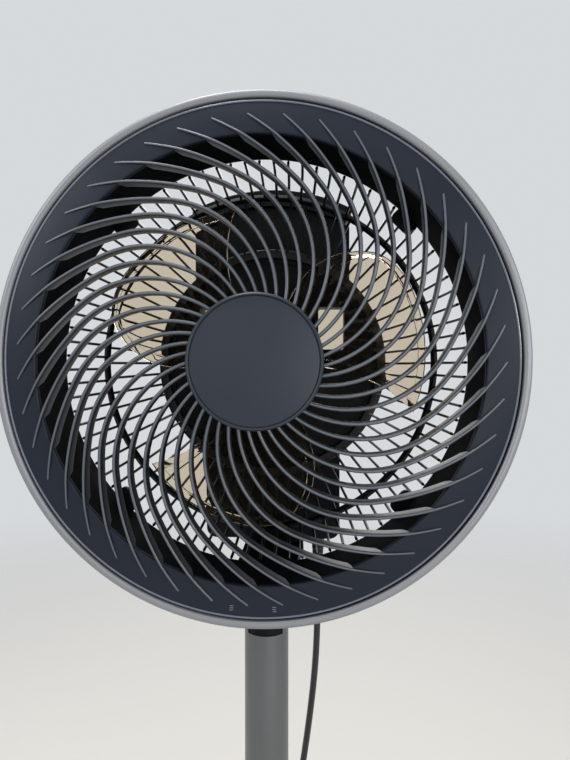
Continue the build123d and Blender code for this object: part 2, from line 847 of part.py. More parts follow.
def blade_sheet(thickness):
    """The twisted sheet that a blade is cut from: steep at the hub, flatter at the tip."""
    across, up = polar(1, blade_sheet_angle)
    outward = Vector(across, 0, up)
    along = Vector(-up, 0, across)
    middle = Vector(0, -blade_middle_depth, fan_height)
    with BuildPart(mode=Mode.PRIVATE) as sheet:
        for reach, pitch in blade_stations:
            chord_direction = along.rotate(Axis((0, 0, 0), outward), pitch)
            with BuildSketch(Plane(middle + outward * reach, chord_direction, outward)):
                Rectangle(blade_sheet_width, thickness)
        loft(ruled=True)
    return sheet.part


blade_back = impeller_back - blade_room_behind
blade_room = 2 * (blade_middle_depth - blade_back)
blade_plane = fan.offset(blade_back)
hub_wall_middle = impeller_hub_radius - skin / 2
# the thin web of a blade, and the thicker rim that runs round its edge
with BuildPart(mode=Mode.PRIVATE) as blade_web:
    extrude(blade_outline(blade_plane, blade_rim_width / 2), amount=blade_room)
    extrude(disc(blade_plane, hub_wall_middle), amount=blade_room, mode=Mode.SUBTRACT)
    add(blade_sheet(blade_thickness), mode=Mode.INTERSECT)
with BuildPart(mode=Mode.PRIVATE) as blade_rim:
    extrude(blade_outline(blade_plane), amount=blade_room)
    extrude(blade_outline(blade_plane, blade_rim_width), amount=blade_room, mode=Mode.SUBTRACT)
    extrude(disc(blade_plane, hub_wall_middle), amount=blade_room, mode=Mode.SUBTRACT)
    add(blade_sheet(blade_rim_thickness), mode=Mode.INTERSECT)

# clear impeller: three blades on a cup that slips over the shaft
with BuildPart() as impeller:
    impeller_profile = [
        (shaft_radius + running_fit, motor_front + collar_clearance),
        (collar_radius, motor_front + collar_clearance),
        (collar_radius, impeller_front - skin),
        (impeller_hub_radius - skin, impeller_front - skin),
        (impeller_hub_radius - skin, impeller_back),
        (impeller_hub_radius, impeller_back),
        (impeller_hub_radius, impeller_front),
        (shaft_radius + running_fit, impeller_front),
    ]
    cup_rounds = [0, 0, 0, cup_corner - 2, 0, 0, cup_corner, 0]
    revolve(outline(fan_section, impeller_profile, cup_rounds), axis=fan_axis)
    add(copies(blade_web.part, fan_axis, blade_count))
    add(copies(blade_rim.part, fan_axis, blade_count))
impeller.part.label = "impeller"
export_step(impeller.part, "parts/impeller.step")

# knurled nut that holds the impeller
with BuildPart() as impeller_nut:
    nut_back = impeller_front + seat_gap
    with BuildSketch(fan.offset(nut_back)):
        Circle(nut_radius)
        with PolarLocations(nut_radius, nut_knurls):
            Circle(knurl_radius, mode=Mode.SUBTRACT)
    extrude(amount=nut_length)
    extrude(
        disc(fan.offset(nut_back), shaft_radius + running_fit),
        amount=shaft_front - nut_back + seat_gap,
        mode=Mode.SUBTRACT,
    )
impeller_nut.part.label = "impeller_nut"
export_step(impeller_nut.part, "parts/impeller_nut.step")

# ================================================================ spine behind the disc
spine_front_face = plate_back - seat_gap
spine_split = spine_front_face - skin - seat_gap


def spine_outline(plane, inset=0.0):
    """The spine's outline: straight sides and foot, round top."""
    half = spine_half_width - inset
    with BuildSketch(plane) as sketch:
        with Locations((0, (spine_bottom + spine_top_radius) / 2)):
            RectangleRounded(
                2 * half,
                spine_top_radius - spine_bottom - 2 * inset + spine_overrun,
                max(spine_corner - inset, 1),
            )
        with Locations((0, spine_bottom + inset - half)):
            Rectangle(4 * half, 2 * half, mode=Mode.SUBTRACT)
        Circle(spine_top_radius - inset, mode=Mode.INTERSECT)
    return sketch.sketch


def window_outline(plane, grow=0.0):
    """The two see-through windows beside the tilt knuckle."""
    with BuildSketch(plane) as sketch:
        with Locations(*window_at):
            RectangleRounded(*[size + 2 * grow for size in window_size], window_corner + grow)
    return sketch.sketch


# front plate of the spine
with BuildPart() as spine_front:
    extrude(spine_outline(fan.offset(spine_front_face)), amount=-skin)
    extrude(window_outline(fan.offset(spine_front_face)), amount=-skin, mode=Mode.SUBTRACT)
    extrude(
        disc(fan.offset(spine_front_face), screw_radius + screw_play, 0, spine_screw_at),
        amount=-skin,
        mode=Mode.SUBTRACT,
    )
spine_front.part.label = "spine_front"
export_step(spine_front.part, "parts/spine_front.step")

peg_at = [
    (driver_board_at[0] + sx * driver_peg_offset[0], driver_board_at[1] + sy * driver_peg_offset[1])
    for sx in (-1, 1)
    for sy in (-1, 1)
]
driver_board_back = spine_back + skin + driver_board_lift
# rear shell of the spine, with window walls, screw posts and the two tilt ears
with BuildPart() as spine_rear:
    extrude(spine_outline(fan.offset(spine_back)), amount=spine_split - spine_back)
    spine_floor = fan.offset(spine_back + skin)
    spine_hollow = spine_split - spine_back - skin
    extrude(spine_outline(spine_floor, skin), amount=spine_hollow, mode=Mode.SUBTRACT)
    extrude(window_outline(spine_floor, skin), amount=spine_hollow)
    extrude(disc(spine_floor, post_radius, 0, spine_screw_at), amount=spine_hollow)
    extrude(
        disc(fan.offset(spine_back + skin), board_peg_radius, 0, peg_at),
        amount=driver_board_back - seat_gap - spine_back - skin,
    )
    for ear_side in (-1, 1):
        ear_middle = ear_side * (ear_inner + ear_thickness / 2)
        with BuildSketch(side.offset(-ear_middle)):
            with Locations((tilt_depth, 0)):
                Circle(ear_radius)
            with Locations(((tilt_depth + spine_back + 1) / 2, 0)):
                Rectangle(spine_back + 1 - tilt_depth, 2 * ear_radius)
        extrude(amount=ear_thickness / 2, both=True)
    extrude(window_outline(fan.offset(spine_back - 1)), amount=cut_length, mode=Mode.SUBTRACT)
    extrude(
        disc(fan.offset(spine_back), screw_radius + screw_play, 0, spine_screw_at),
        amount=cut_length,
        mode=Mode.SUBTRACT,
    )
    with BuildSketch(side):
        with Locations((tilt_depth, 0)):
            Circle(tilt_shaft_radius + running_fit)
    extrude(amount=spine_half_width, both=True, mode=Mode.SUBTRACT)
spine_rear.part.label = "spine_rear"
export_step(spine_rear.part, "parts/spine_rear.step")

# four screws through the spine into the disc
with BuildPart() as spine_screws:
    extrude(
        disc(fan.offset(spine_back), screw_head_radius, 0, spine_screw_at),
        amount=-screw_head_height,
    )
    extrude(
        disc(fan.offset(spine_back), screw_radius, 0, spine_screw_at),
        amount=plate_front - spine_back - seat_gap,
    )
    crosses = cross_slots(fan.offset(spine_back - screw_head_height), spine_screw_at)
    extrude(crosses, amount=screw_slot_depth, mode=Mode.SUBTRACT)
spine_screws.part.label = "spine_screws"
export_step(spine_screws.part, "parts/spine_screws.step")


def handle_sector(plane, inner, outer, half_angle):
    """A band of a ring round the fan's axis, centred on its top."""
    with BuildSketch(plane) as sketch:
        Circle(outer)
        Circle(inner, mode=Mode.SUBTRACT)
        with BuildLine():
            Polyline(
                (0, 0), polar(big, 90 - half_angle), polar(big, 90 + half_angle), close=True
            )
        make_face(mode=Mode.INTERSECT)
    return sketch.sketch


# arched grip that caps the top of the spine
with BuildPart() as top_grip:
    grip_inner = spine_top_radius + seat_gap
    extrude(
        handle_sector(fan.offset(handle_back), grip_inner, handle_radius, handle_half_angle),
        amount=handle_front - handle_back,
    )
    fillet(top_grip.edges().filter_by(Axis.Y), handle_round)
    extrude(
        handle_sector(
            fan.offset(handle_back + skin), grip_inner - 1, handle_radius - skin, handle_half_angle - 2
        ),
        amount=handle_front - handle_back - 2 * skin,
        mode=Mode.SUBTRACT,
    )
top_grip.part.label = "top_grip"
export_step(top_grip.part, "parts/top_grip.step")

# circuit board that drives the motor, inside the top of the spine
with BuildPart() as driver_board:
    with BuildSketch(fan.offset(driver_board_back)):
        with Locations(driver_board_at):
            Rectangle(*driver_board_size)
    extrude(amount=board_thickness)
    with BuildSketch(fan.offset(driver_board_back + board_thickness)):
        with Locations(*chip_at):
            Rectangle(*chip_size)
    extrude(amount=chip_height)
driver_board.part.label = "driver_board"
export_step(driver_board.part, "parts/driver_board.step")

# ================================================================ tilt drive
pinion_drop = gear_module * (wheel_teeth + pinion_teeth) / 2
# steel shaft that carries the head
with BuildPart() as tilt_shaft:
    clip_x = ear_inner + ear_thickness + seat_gap
    with BuildSketch(side):
        with Locations((tilt_depth, 0)):
            Circle(tilt_shaft_radius)
    extrude(amount=clip_x + clip_end, both=True)
tilt_shaft.part.label = "tilt_shaft"
export_step(tilt_shaft.part, "parts/tilt_shaft.step")

# spring clips on the ends of the tilt shaft
with BuildPart() as tilt_clips:
    for clip_side in (-1, 1):
        with BuildSketch(side.offset(-clip_side * (clip_x + clip_thickness / 2))):
            with Locations((tilt_depth, 0)):
                Circle(tilt_shaft_radius + clip_width)
                Circle(tilt_shaft_radius + running_fit, mode=Mode.SUBTRACT)
        extrude(amount=clip_thickness / 2, both=True)
tilt_clips.part.label = "tilt_clips"
export_step(tilt_clips.part, "parts/tilt_clips.step")

# gear fixed on the tilt shaft: a tooth points straight down at rest
with BuildPart() as tilt_gear:
    gear_plane = side.offset(-tilt_gear_x)
    extrude(
        gear_sketch(gear_plane, wheel_teeth, tilt_shaft_radius + running_fit, -90, (tilt_depth, 0)),
        amount=-gear_thickness,
    )
tilt_gear.part.label = "tilt_gear"
export_step(tilt_gear.part, "parts/tilt_gear.step")

# pinion of the tilt motor, with a gap between teeth straight up
with BuildPart() as tilt_pinion:
    pinion_place = (tilt_depth, -pinion_drop)
    pinion_start = 90 + 180 / pinion_teeth
    extrude(
        gear_sketch(gear_plane, pinion_teeth, pinion_bore + running_fit, pinion_start, pinion_place),
        amount=-gear_thickness,
    )
tilt_pinion.part.label = "tilt_pinion"
export_step(tilt_pinion.part, "parts/tilt_pinion.step")

# geared motor of the tilt drive, its shaft off the middle of its can
with BuildPart() as tilt_motor:
    motor_face = side.offset(-(tilt_gear_x + gear_thickness + 1))
    with BuildSketch(motor_face):
        with Locations((tilt_depth, -pinion_drop - motor_shaft_offset)):
            Circle(gearmotor_radius)
    extrude(amount=-gearmotor_length)
    with BuildSketch(motor_face):
        with Locations(pinion_place):
            Circle(pinion_bore)
    extrude(amount=gear_thickness + 1)
    with BuildSketch(motor_face.offset(-gearmotor_length)):
        with Locations((tilt_depth, -pinion_drop - motor_shaft_offset)):
            Rectangle(2 * gearmotor_radius + motor_flange[0], motor_flange[1])
    extrude(amount=motor_flange[2])
tilt_motor.part.label = "tilt_motor"
export_step(tilt_motor.part, "parts/tilt_motor.step")

# ================================================================ neck
def neck_shape(inset):
    """The neck's outer form, or its hollow when drawn in by a wall."""
    back = tilt_depth - column_radius + inset
    with BuildPart(mode=Mode.PRIVATE) as shape:
        with BuildSketch(side):
            with Locations((tilt_depth, 0)):
                Circle(column_radius - inset)
            with Locations((tilt_depth, (block_top - column_overlap) / 2)):
                Rectangle(2 * (column_radius - inset), column_overlap - block_top)
        extrude(amount=column_half_width - inset, both=True)
        with BuildSketch(fan.offset(back)):
            with Locations((0, (block_top + block_bottom) / 2)):
                RectangleRounded(
                    2 * (block_half_width - inset),
                    block_top - block_bottom - 2 * inset,
                    block_corner - inset,
                )
        extrude(amount=block_front - inset - back)
        with BuildSketch(level.offset(arm_bottom + inset)):
            with Locations((0, -back / 2)):
                Rectangle(2 * (arm_half_width - inset), -back)
            Circle(arm_half_width - inset)
        extrude(amount=arm_top - arm_bottom - 2 * inset)
        with BuildSketch(level.offset(arm_bottom + inset)):
            with Locations((0, -(back + block_front - inset) / 2)):
                Rectangle(2 * (arm_half_width - inset), block_front - inset - back)
        extrude(amount=block_bottom + 10 - arm_bottom - inset)
    return shape.part


relief_place = (relief_x, -relief_depth)
# main shell of the neck, from the pole's top up to the tilt shaft
with BuildPart() as neck_body:
    add(neck_shape(0))
    add(neck_shape(skin), mode=Mode.SUBTRACT)
    with BuildSketch(fan.offset(neck_split)):
        Rectangle(big, big)
    extrude(amount=-big, mode=Mode.SUBTRACT)
    bush_radius = tilt_shaft_radius + bush_wall
    with BuildSketch(side):
        with Locations((tilt_depth, 0)):
            Circle(bush_radius + running_fit)
    extrude(amount=column_half_width, both=True, mode=Mode.SUBTRACT)
    spindle_hole = disc(level.offset(arm_bottom), spindle_radius + running_fit)
    extrude(spindle_hole, amount=skin, mode=Mode.SUBTRACT)
    relief_hole = disc(level.offset(block_bottom), relief_hole_radius, 0, [relief_place])
    extrude(relief_hole, amount=skin, mode=Mode.SUBTRACT)
neck_body.part.label = "neck_body"
export_step(neck_body.part, "parts/neck_body.step")

cover_face = tilt_depth - column_radius
power_board_back = neck_split + power_board_lift
# rear cover of the neck
with BuildPart() as neck_cover:
    add(neck_shape(0))
    add(neck_shape(skin), mode=Mode.SUBTRACT)
    with BuildSketch(fan.offset(neck_split - seat_gap)):
        Rectangle(big, big)
    extrude(amount=big, mode=Mode.SUBTRACT)
    inner_face = cover_face + skin
    extrude(
        disc(fan.offset(inner_face), board_peg_radius, 0, board_peg_at),
        amount=power_board_back - seat_gap - inner_face,
    )
    extrude(
        disc(fan.offset(cover_face), screw_radius + screw_play, 0, neck_screw_at),
        amount=skin,
        mode=Mode.SUBTRACT,
    )
neck_cover.part.label = "neck_cover"
export_step(neck_cover.part, "parts/neck_cover.step")

# four screws of the neck's cover
with BuildPart() as neck_screws:
    extrude(
        disc(fan.offset(cover_face), screw_head_radius, 0, neck_screw_at),
        amount=-screw_head_height,
    )
    extrude(disc(fan.offset(cover_face), screw_radius, 0, neck_screw_at), amount=neck_screw_length)
    crosses = cross_slots(fan.offset(cover_face - screw_head_height), neck_screw_at)
    extrude(crosses, amount=screw_slot_depth, mode=Mode.SUBTRACT)
neck_screws.part.label = "neck_screws"
export_step(neck_screws.part, "parts/neck_screws.step")

# bushes in which the tilt shaft turns
with BuildPart() as tilt_bushes:
    for bush_side in (-1, 1):
        flange_in = column_half_width + seat_gap
        flange_out = ear_inner - seat_gap
        bush_in = column_half_width - skin - bush_flange
        flange = (flange_in, flange_out, bush_radius + bush_flange)
        for low, high, outer in (flange, (bush_in, flange_in, bush_radius)):
            with BuildSketch(side.offset(-bush_side * (low + high) / 2)):
                with Locations((tilt_depth, 0)):
                    Circle(outer)
                    Circle(tilt_shaft_radius + running_fit, mode=Mode.SUBTRACT)
            extrude(amount=(high - low) / 2, both=True)
tilt_bushes.part.label = "tilt_bushes"
export_step(tilt_bushes.part, "parts/tilt_bushes.step")

# mains board with its transformer and capacitor
with BuildPart() as power_board:
    with BuildSketch(fan.offset(power_board_back)):
        with Locations((0, power_board_middle)):
            Rectangle(*power_board_size)
    extrude(amount=board_thickness)
    with BuildSketch(fan.offset(power_board_back + board_thickness)):
        with Locations(transformer_at):
            Rectangle(*transformer_size)
        with Locations(*capacitor_at):
            Circle(capacitor_radius)
        with Locations(filter_at):
            Rectangle(*filter_size)
    extrude(amount=power_part_height)
power_board.part.label = "power_board"
export_step(power_board.part, "parts/power_board.step")

# tapered strain relief under the neck
with BuildPart() as strain_relief:
    relief_start = block_bottom - seat_gap
    relief_bottom = block_bottom - relief_length
    with BuildSketch(level.offset(relief_start)):
        with Locations(relief_place):
            Circle(relief_top_radius)
    with BuildSketch(level.offset(relief_bottom)):
        with Locations(relief_place):
            Circle(relief_end_radius)
    loft()
    collar = disc(level.offset(relief_start), relief_collar_radius, 0, [relief_place])
    extrude(collar, amount=skin + 2 * seat_gap)
    flange_level = block_bottom + skin + seat_gap
    extrude(disc(level.offset(flange_level), relief_top_radius, 0, [relief_place]), amount=relief_flange)
    for groove in range(relief_groove_count):
        groove_level = relief_start - relief_groove[0] - relief_groove[1] * groove
        extrude(
            disc(level.offset(groove_level), relief_top_radius, cord_radius + 0.5, [relief_place]),
            amount=relief_groove[2],
            mode=Mode.SUBTRACT,
        )
strain_relief.part.label = "strain_relief"
export_step(strain_relief.part, "parts/strain_relief.step")

# ================================================================ pan drive and pole
floor_level = arm_bottom + skin + seat_gap
# gear fixed round the spindle: a tooth points straight back at rest
with BuildPart() as pan_gear:
    extrude(
        gear_sketch(level.offset(floor_level), wheel_teeth, spindle_radius + running_fit, 90),
        amount=gear_thickness,
    )
pan_gear.part.label = "pan_gear"
export_step(pan_gear.part, "parts/pan_gear.step")

# pinion of the pan motor, which rolls round the fixed gear
with BuildPart() as pan_pinion:
    pan_pinion_at = (0, pinion_drop)
    extrude(
        gear_sketch(
            level.offset(floor_level),
            pinion_teeth,
            pinion_bore + running_fit,
            -90 + 180 / pinion_teeth,
            pan_pinion_at,
        ),
        amount=gear_thickness,
    )
pan_pinion.part.label = "pan_pinion"
export_step(pan_pinion.part, "parts/pan_pinion.step")

# geared motor of the pan drive, above its pinion
with BuildPart() as pan_motor:
    pan_motor_base = floor_level + gear_thickness + seat_gap
    pan_motor_at = (0, pinion_drop + motor_shaft_offset)
    can = disc(level.offset(pan_motor_base), gearmotor_radius, 0, [pan_motor_at])
    extrude(can, amount=arm_top - skin - seat_gap - pan_motor_base)
    shaft_stub = disc(level.offset(pan_motor_base), pinion_bore, 0, [pan_pinion_at])
    extrude(shaft_stub, amount=-gear_thickness)
pan_motor.part.label = "pan_motor"
export_step(pan_motor.part, "parts/pan_motor.step")

# nut that keeps the neck on the spindle
with BuildPart() as pan_nut:
    nut_level = pan_motor_base
    with BuildSketch(level.offset(nut_level)):
        RegularPolygon(pan_nut_radius, 6)
        Circle(spindle_radius + running_fit, mode=Mode.SUBTRACT)
    extrude(amount=pan_nut_height)
pan_nut.part.label = "pan_nut"
export_step(pan_nut.part, "parts/pan_nut.step")

insert_top = arm_bottom - washer_thickness - 2 * thrust_gap
insert_radius = pole_radius - pole_wall - screw_play
# slippery washer on which the neck turns
with BuildPart() as pan_washer:
    extrude(
        disc(level.offset(insert_top + thrust_gap), washer_radius, spindle_radius + seat_gap),
        amount=washer_thickness,
    )
pan_washer.part.label = "pan_washer"
export_step(pan_washer.part, "parts/pan_washer.step")

# black insert that closes the pole's top and shows in its notch
with BuildPart() as pole_insert:
    flange_under = pole_top + seat_gap
    extrude(disc(level.offset(flange_under), pole_radius), amount=insert_top - flange_under)
    extrude(disc(level.offset(pole_top - insert_length), insert_radius), amount=insert_length + seat_gap)
    with BuildSketch(level.offset(notch_bottom + seat_gap)):
        Circle(pole_radius - notch_play)
        with Locations((0, -pole_radius / 2)):
            Rectangle(notch_width - 2 * seat_gap, pole_radius, mode=Mode.INTERSECT)
    extrude(amount=flange_under - notch_bottom - seat_gap)
    spindle_bore_hole = disc(level.offset(insert_top), spindle_radius + running_fit)
    extrude(spindle_bore_hole, amount=insert_floor - insert_length, mode=Mode.SUBTRACT)
pole_insert.part.label = "pole_insert"
export_step(pole_insert.part, "parts/pole_insert.step")

# hollow spindle that the neck turns on
with BuildPart() as pan_spindle:
    spindle_foot = insert_top - insert_length + insert_floor + seat_gap
    extrude(
        disc(level.offset(spindle_foot), spindle_radius, spindle_bore),
        amount=spindle_top - spindle_foot,
    )
pan_spindle.part.label = "pan_spindle"
export_step(pan_spindle.part, "parts/pan_spindle.step")

pole_bore = pole_radius - pole_wall
# upper tube of the pole, notched at the front of its top
with BuildPart() as pole_upper:
    upper_length = fan_height + pole_top - pole_seam - seat_gap
    extrude(disc(Plane.XY.offset(pole_seam + seat_gap), pole_radius, pole_bore), amount=upper_length)
    with BuildSketch(level.offset(notch_bottom)):
        with Locations((0, -pole_radius / 2)):
            Rectangle(notch_width, pole_radius)
    extrude(amount=pole_top - notch_bottom, mode=Mode.SUBTRACT)
pole_upper.part.label = "pole_upper"
export_step(pole_upper.part, "parts/pole_upper.step")

floor_of_socket = base_rim_bottom + skin + seat_gap + weight_thickness + seat_gap + flange_thickness
joiner_screw_height = pole_seam - joiner_length / 4
# lower tube of the pole
with BuildPart() as pole_lower:
    tube_foot = floor_of_socket + seat_gap
    extrude(disc(Plane.XY.offset(tube_foot), pole_radius, pole_bore), amount=pole_seam - tube_foot)
    with BuildSketch(Plane.XZ):
        with Locations((0, socket_screw_height), (0, joiner_screw_height)):
            Circle(screw_radius + screw_play)
    extrude(amount=-pole_radius, mode=Mode.SUBTRACT)
pole_lower.part.label = "pole_lower"
export_step(pole_lower.part, "parts/pole_lower.step")

joiner_radius = pole_bore - screw_play
# sleeve inside the joint of the two tubes
with BuildPart() as pole_joiner:
    extrude(
        disc(Plane.XY.offset(pole_seam - joiner_length / 2), joiner_radius, joiner_radius - joiner_wall),
        amount=joiner_length,
    )
    with BuildSketch(Plane.XZ):
        with Locations((0, joiner_screw_height)):
            Circle(screw_radius + screw_play)
    extrude(amount=-pole_radius, mode=Mode.SUBTRACT)
pole_joiner.part.label = "pole_joiner"
export_step(pole_joiner.part, "parts/pole_joiner.step")

# ================================================================ base
plate_top = base_rim_bottom + skin
weight_bottom = plate_top + seat_gap
weight_top = weight_bottom + weight_thickness
flange_bottom = weight_top + seat_gap
foot_at = around(foot_circle, foot_count, 90)
base_screw_at = around(base_screw_circle, base_screw_count, 0)
cover_screw_at = around(cover_screw_circle, foot_count, 90 + 180 / foot_count)

# domed cover of the base
with BuildPart() as base_cover:
    collar_bore = socket_radius + seat_gap
    cover_profile = [
        (collar_bore, base_top - base_wall),
        (socket_flange - 4, base_top - base_wall),
        (base_radius - 8, base_shoulder - base_wall),
        (base_radius - base_wall, base_rim_top - base_wall / 2),
        (base_radius - base_wall, base_rim_bottom),
        (base_radius, base_rim_bottom),
        (base_radius, base_rim_top),
        (base_radius - 6, base_shoulder),
        (socket_flange - 4, base_top),
        (collar_bore, base_top),
    ]
    revolve(outline(Plane.XZ, cover_profile, cover_rounds), axis=Axis.Z)
    boss_top = base_shoulder - base_wall / 2
    extrude(
        disc(Plane.XY.offset(plate_top + seat_gap), post_radius, 0, cover_screw_at),
        amount=boss_top - plate_top - seat_gap,
    )
    extrude(
        disc(Plane.XY.offset(plate_top), screw_radius + screw_play, 0, cover_screw_at),
        amount=cover_hole_depth,
        mode=Mode.SUBTRACT,
    )
base_cover.part.label = "base_cover"
export_step(base_cover.part, "parts/base_cover.step")

# plate that closes the base from below
with BuildPart() as base_plate:
    extrude(
        disc(Plane.XY.offset(base_rim_bottom), base_radius - base_wall - seat_gap), amount=skin
    )
    extrude(
        disc(Plane.XY, base_screw_radius + screw_play, 0, base_screw_at),
        amount=plate_top,
        mode=Mode.SUBTRACT,
    )
    extrude(
        disc(Plane.XY, screw_radius + screw_play, 0, cover_screw_at),
        amount=plate_top,
        mode=Mode.SUBTRACT,
    )
base_plate.part.label = "base_plate"
export_step(base_plate.part, "parts/base_plate.step")

# steel weight that keeps the fan standing
with BuildPart() as base_weight:
    extrude(disc(Plane.XY.offset(weight_bottom), weight_outer, weight_inner), amount=weight_thickness)
    extrude(
        disc(Plane.XY.offset(weight_bottom), base_screw_radius + screw_play, 0, base_screw_at),
        amount=weight_thickness,
        mode=Mode.SUBTRACT,
    )
base_weight.part.label = "base_weight"
export_step(base_weight.part, "parts/base_weight.step")

# rubber feet
with BuildPart() as base_feet:
    extrude(disc(Plane.XY, foot_radius, 0, foot_at), amount=foot_height)
    chamfer(base_feet.faces().sort_by(Axis.Z)[:foot_count].edges(), chamfer_size)
base_feet.part.label = "base_feet"
export_step(base_feet.part, "parts/base_feet.step")

# socket that holds the pole, flanged under the cover
with BuildPart() as pole_socket:
    socket_profile = [
        (0, flange_bottom),
        (socket_flange, flange_bottom),
        (socket_flange, flange_bottom + flange_thickness),
        (socket_radius, flange_bottom + flange_thickness),
        (socket_radius, socket_height),
        (pole_radius + seat_gap, socket_height),
        (pole_radius + seat_gap, flange_bottom + flange_thickness),
        (0, flange_bottom + flange_thickness),
    ]
    socket_rounds = [0, 0, 0, 0, socket_edge_round, 0, 0, 0]
    revolve(outline(Plane.XZ, socket_profile, socket_rounds), axis=Axis.Z)
    extrude(
        disc(Plane.XY.offset(flange_bottom), base_screw_radius + screw_play, 0, base_screw_at),
        amount=flange_thickness,
        mode=Mode.SUBTRACT,
    )
    with BuildSketch(Plane.XZ):
        with Locations((0, socket_screw_height)):
            Circle(screw_radius + screw_play)
    extrude(amount=-2 * pole_radius, mode=Mode.SUBTRACT)
pole_socket.part.label = "pole_socket"
export_step(pole_socket.part, "parts/pole_socket.step")

# screws up through the base into the socket's flange, and into the cover's posts
with BuildPart() as base_screws:
    head_under = base_rim_bottom - base_head_height
    extrude(
        disc(Plane.XY.offset(head_under), base_head_radius, 0, base_screw_at), amount=base_head_height
    )
    extrude(
        disc(Plane.XY.offset(base_rim_bottom), base_screw_radius, 0, base_screw_at),
        amount=flange_bottom + flange_thickness - base_rim_bottom,
    )
    extrude(
        disc(Plane.XY.offset(head_under), screw_head_radius, 0, cover_screw_at), amount=base_head_height
    )
    extrude(
        disc(Plane.XY.offset(base_rim_bottom), screw_radius, 0, cover_screw_at), amount=cover_screw_length
    )
base_screws.part.label = "base_screws"
export_step(base_screws.part, "parts/base_screws.step")

# screws at the back of the pole: one in the socket, one in the joint
with BuildPart() as pole_screws:
    screw_seats = ((socket_screw_height, socket_radius), (joiner_screw_height, pole_radius))
    for screw_height, seat_radius in screw_seats:
        with BuildSketch(Plane.XZ.offset(-seat_radius)):
            with Locations((0, screw_height)):
                Circle(screw_head_radius)
        extrude(amount=-screw_head_height)
        with BuildSketch(Plane.XZ.offset(-seat_radius)):
            with Locations((0, screw_height)):
                Circle(screw_radius)
        extrude(amount=seat_radius - pole_bore + skin)
pole_screws.part.label = "pole_screws"
export_step(pole_screws.part, "parts/pole_screws.step")

# ================================================================ mains lead
coil_floor = tie_thickness + seat_gap + cord_radius
coil_pitch = 2 * cord_radius + coil_gap
coil_start = (coil_centre[0], coil_centre[1] - coil_outer)
cord_top = fan_height + relief_bottom - seat_gap
# where the lead hangs, from the strain relief to the floor behind the base
cord_route = [
    (relief_x, -relief_depth, cord_top),
    (relief_x, -relief_depth, 574),
    (38.2, 87.6, 520),
    (31.8, 88.6, 462),
    (23.5, 93, 404),
    (16, 103, 346),
    (10, 119, 290),
    (5, 138, 235),
    (1.5, 156, 180),
    (0.5, 169, 126),
    (4, 176.5, 78),
    (15, 177.5, 38),
    (37, 174.5, 13),
    (67, coil_start[1], coil_floor),
    (coil_start[0] - 2 * cord_radius, coil_start[1], coil_floor),
]


def corner_radii_of(route):
    """The radius at each corner: as large as its two runs allow."""
    radii = []
    for before, here, after in zip(route, route[1:], route[2:]):
        arriving = Vector(*here) - Vector(*before)
        leaving = Vector(*after) - Vector(*here)
        shorter = min(arriving.length, leaving.length)
        turn = math.radians(arriving.get_angle(leaving))
        radii.append(0.45 * shorter / math.tan(turn / 2))
    return radii


cord_radii = corner_radii_of(cord_route)
print("cord corner radii:", [round(r, 1) for r in cord_radii])

# the hanging stretch of the lead
with BuildPart() as power_cord:
    with BuildLine() as cord_path:
        FilletPolyline(*cord_route, radius=cord_radii)
    with BuildSketch(Plane(cord_path.line @ 0, z_dir=cord_path.line % 0)):
        Circle(cord_radius)
    sweep()
power_cord.part.label = "power_cord"
export_step(power_cord.part, "parts/power_cord.step")
cord_length = cord_path.wires()[0].length
cord_section = math.pi * cord_radius ** 2
print("cord length", round(cord_length, 1), "volume ratio",
      round(power_cord.part.volume / (cord_section * cord_length), 5))

# the put-away length: a spiral in on the floor, up a layer, and a spiral out
climb_start = coil_turns / 2 - 0.25
climb_end = coil_turns / 2 + 0.25


def coil_point(turn):
    """The coil's middle line, by turns from its start."""
    radius = coil_outer - coil_pitch * (coil_turns / 2 - abs(turn - coil_turns / 2))
    climb = min(max((turn - climb_start) / (climb_end - climb_start), 0.0), 1.0)
    x, y = polar(radius, 360.0 * turn - 90)
    rise = coil_pitch * climb * climb * (3 - 2 * climb)
    return Vector(coil_centre[0] + x, coil_centre[1] + y, coil_floor + rise)


def coil_direction(turn):
    """The coil's direction: level along X at both ends."""
    if turn <= 0 or turn >= coil_turns:
        return Vector(1, 0, 0)
    return (coil_point(turn + 0.001) - coil_point(turn - 0.001)).normalized()


def biarc_middle(start, start_way, end, end_way):
    """The point where two tangent arcs between two directed points meet."""
    span = end - start
    ways = start_way + end_way
    closing = 2 * (1 - start_way.dot(end_way))
    reach = (-span.dot(ways) + math.sqrt(span.dot(ways) ** 2 + closing * span.dot(span))) / closing
    return (start + end + (start_way - end_way) * reach) * 0.5


quarter_turns = [i / 4 for i in range(4 * coil_turns + 1)]
with BuildPart() as cord_coil:
    with BuildLine() as coil_path:
        coil_first = coil_point(0)
        Line(coil_first - Vector(2 * cord_radius, 0, 0), coil_first)
        for this, following in zip(quarter_turns, quarter_turns[1:]):
            here, there = coil_point(this), coil_point(following)
            way, next_way = coil_direction(this), coil_direction(following)
            joint = biarc_middle(here, way, there, next_way)
            first_arc = TangentArc(here, joint, tangent=way)
            TangentArc(joint, there, tangent=first_arc % 1)
        coil_last = coil_point(coil_turns)
        Line(coil_last, coil_last + Vector(exit_run, 0, 0))
    with BuildSketch(Plane(coil_path.line @ 0, z_dir=coil_path.line % 0)):
        Circle(cord_radius)
    sweep()
cord_coil.part.label = "cord_coil"
export_step(cord_coil.part, "parts/cord_coil.step")
coil_length = coil_path.wires()[0].length
print("coil length", round(coil_length, 1), "volume ratio",
      round(cord_coil.part.volume / (cord_section * coil_length), 5))
steps = 60 * coil_turns
coil_samples = [coil_point(coil_turns * i / steps) for i in range(steps + 1)]
least_gap = min(
    (coil_samples[i] - coil_samples[j]).length - 2 * cord_radius
    for i in range(len(coil_samples))
    for j in range(i + 30, len(coil_samples))
)
print("least gap of the coil to itself", round(least_gap, 2))

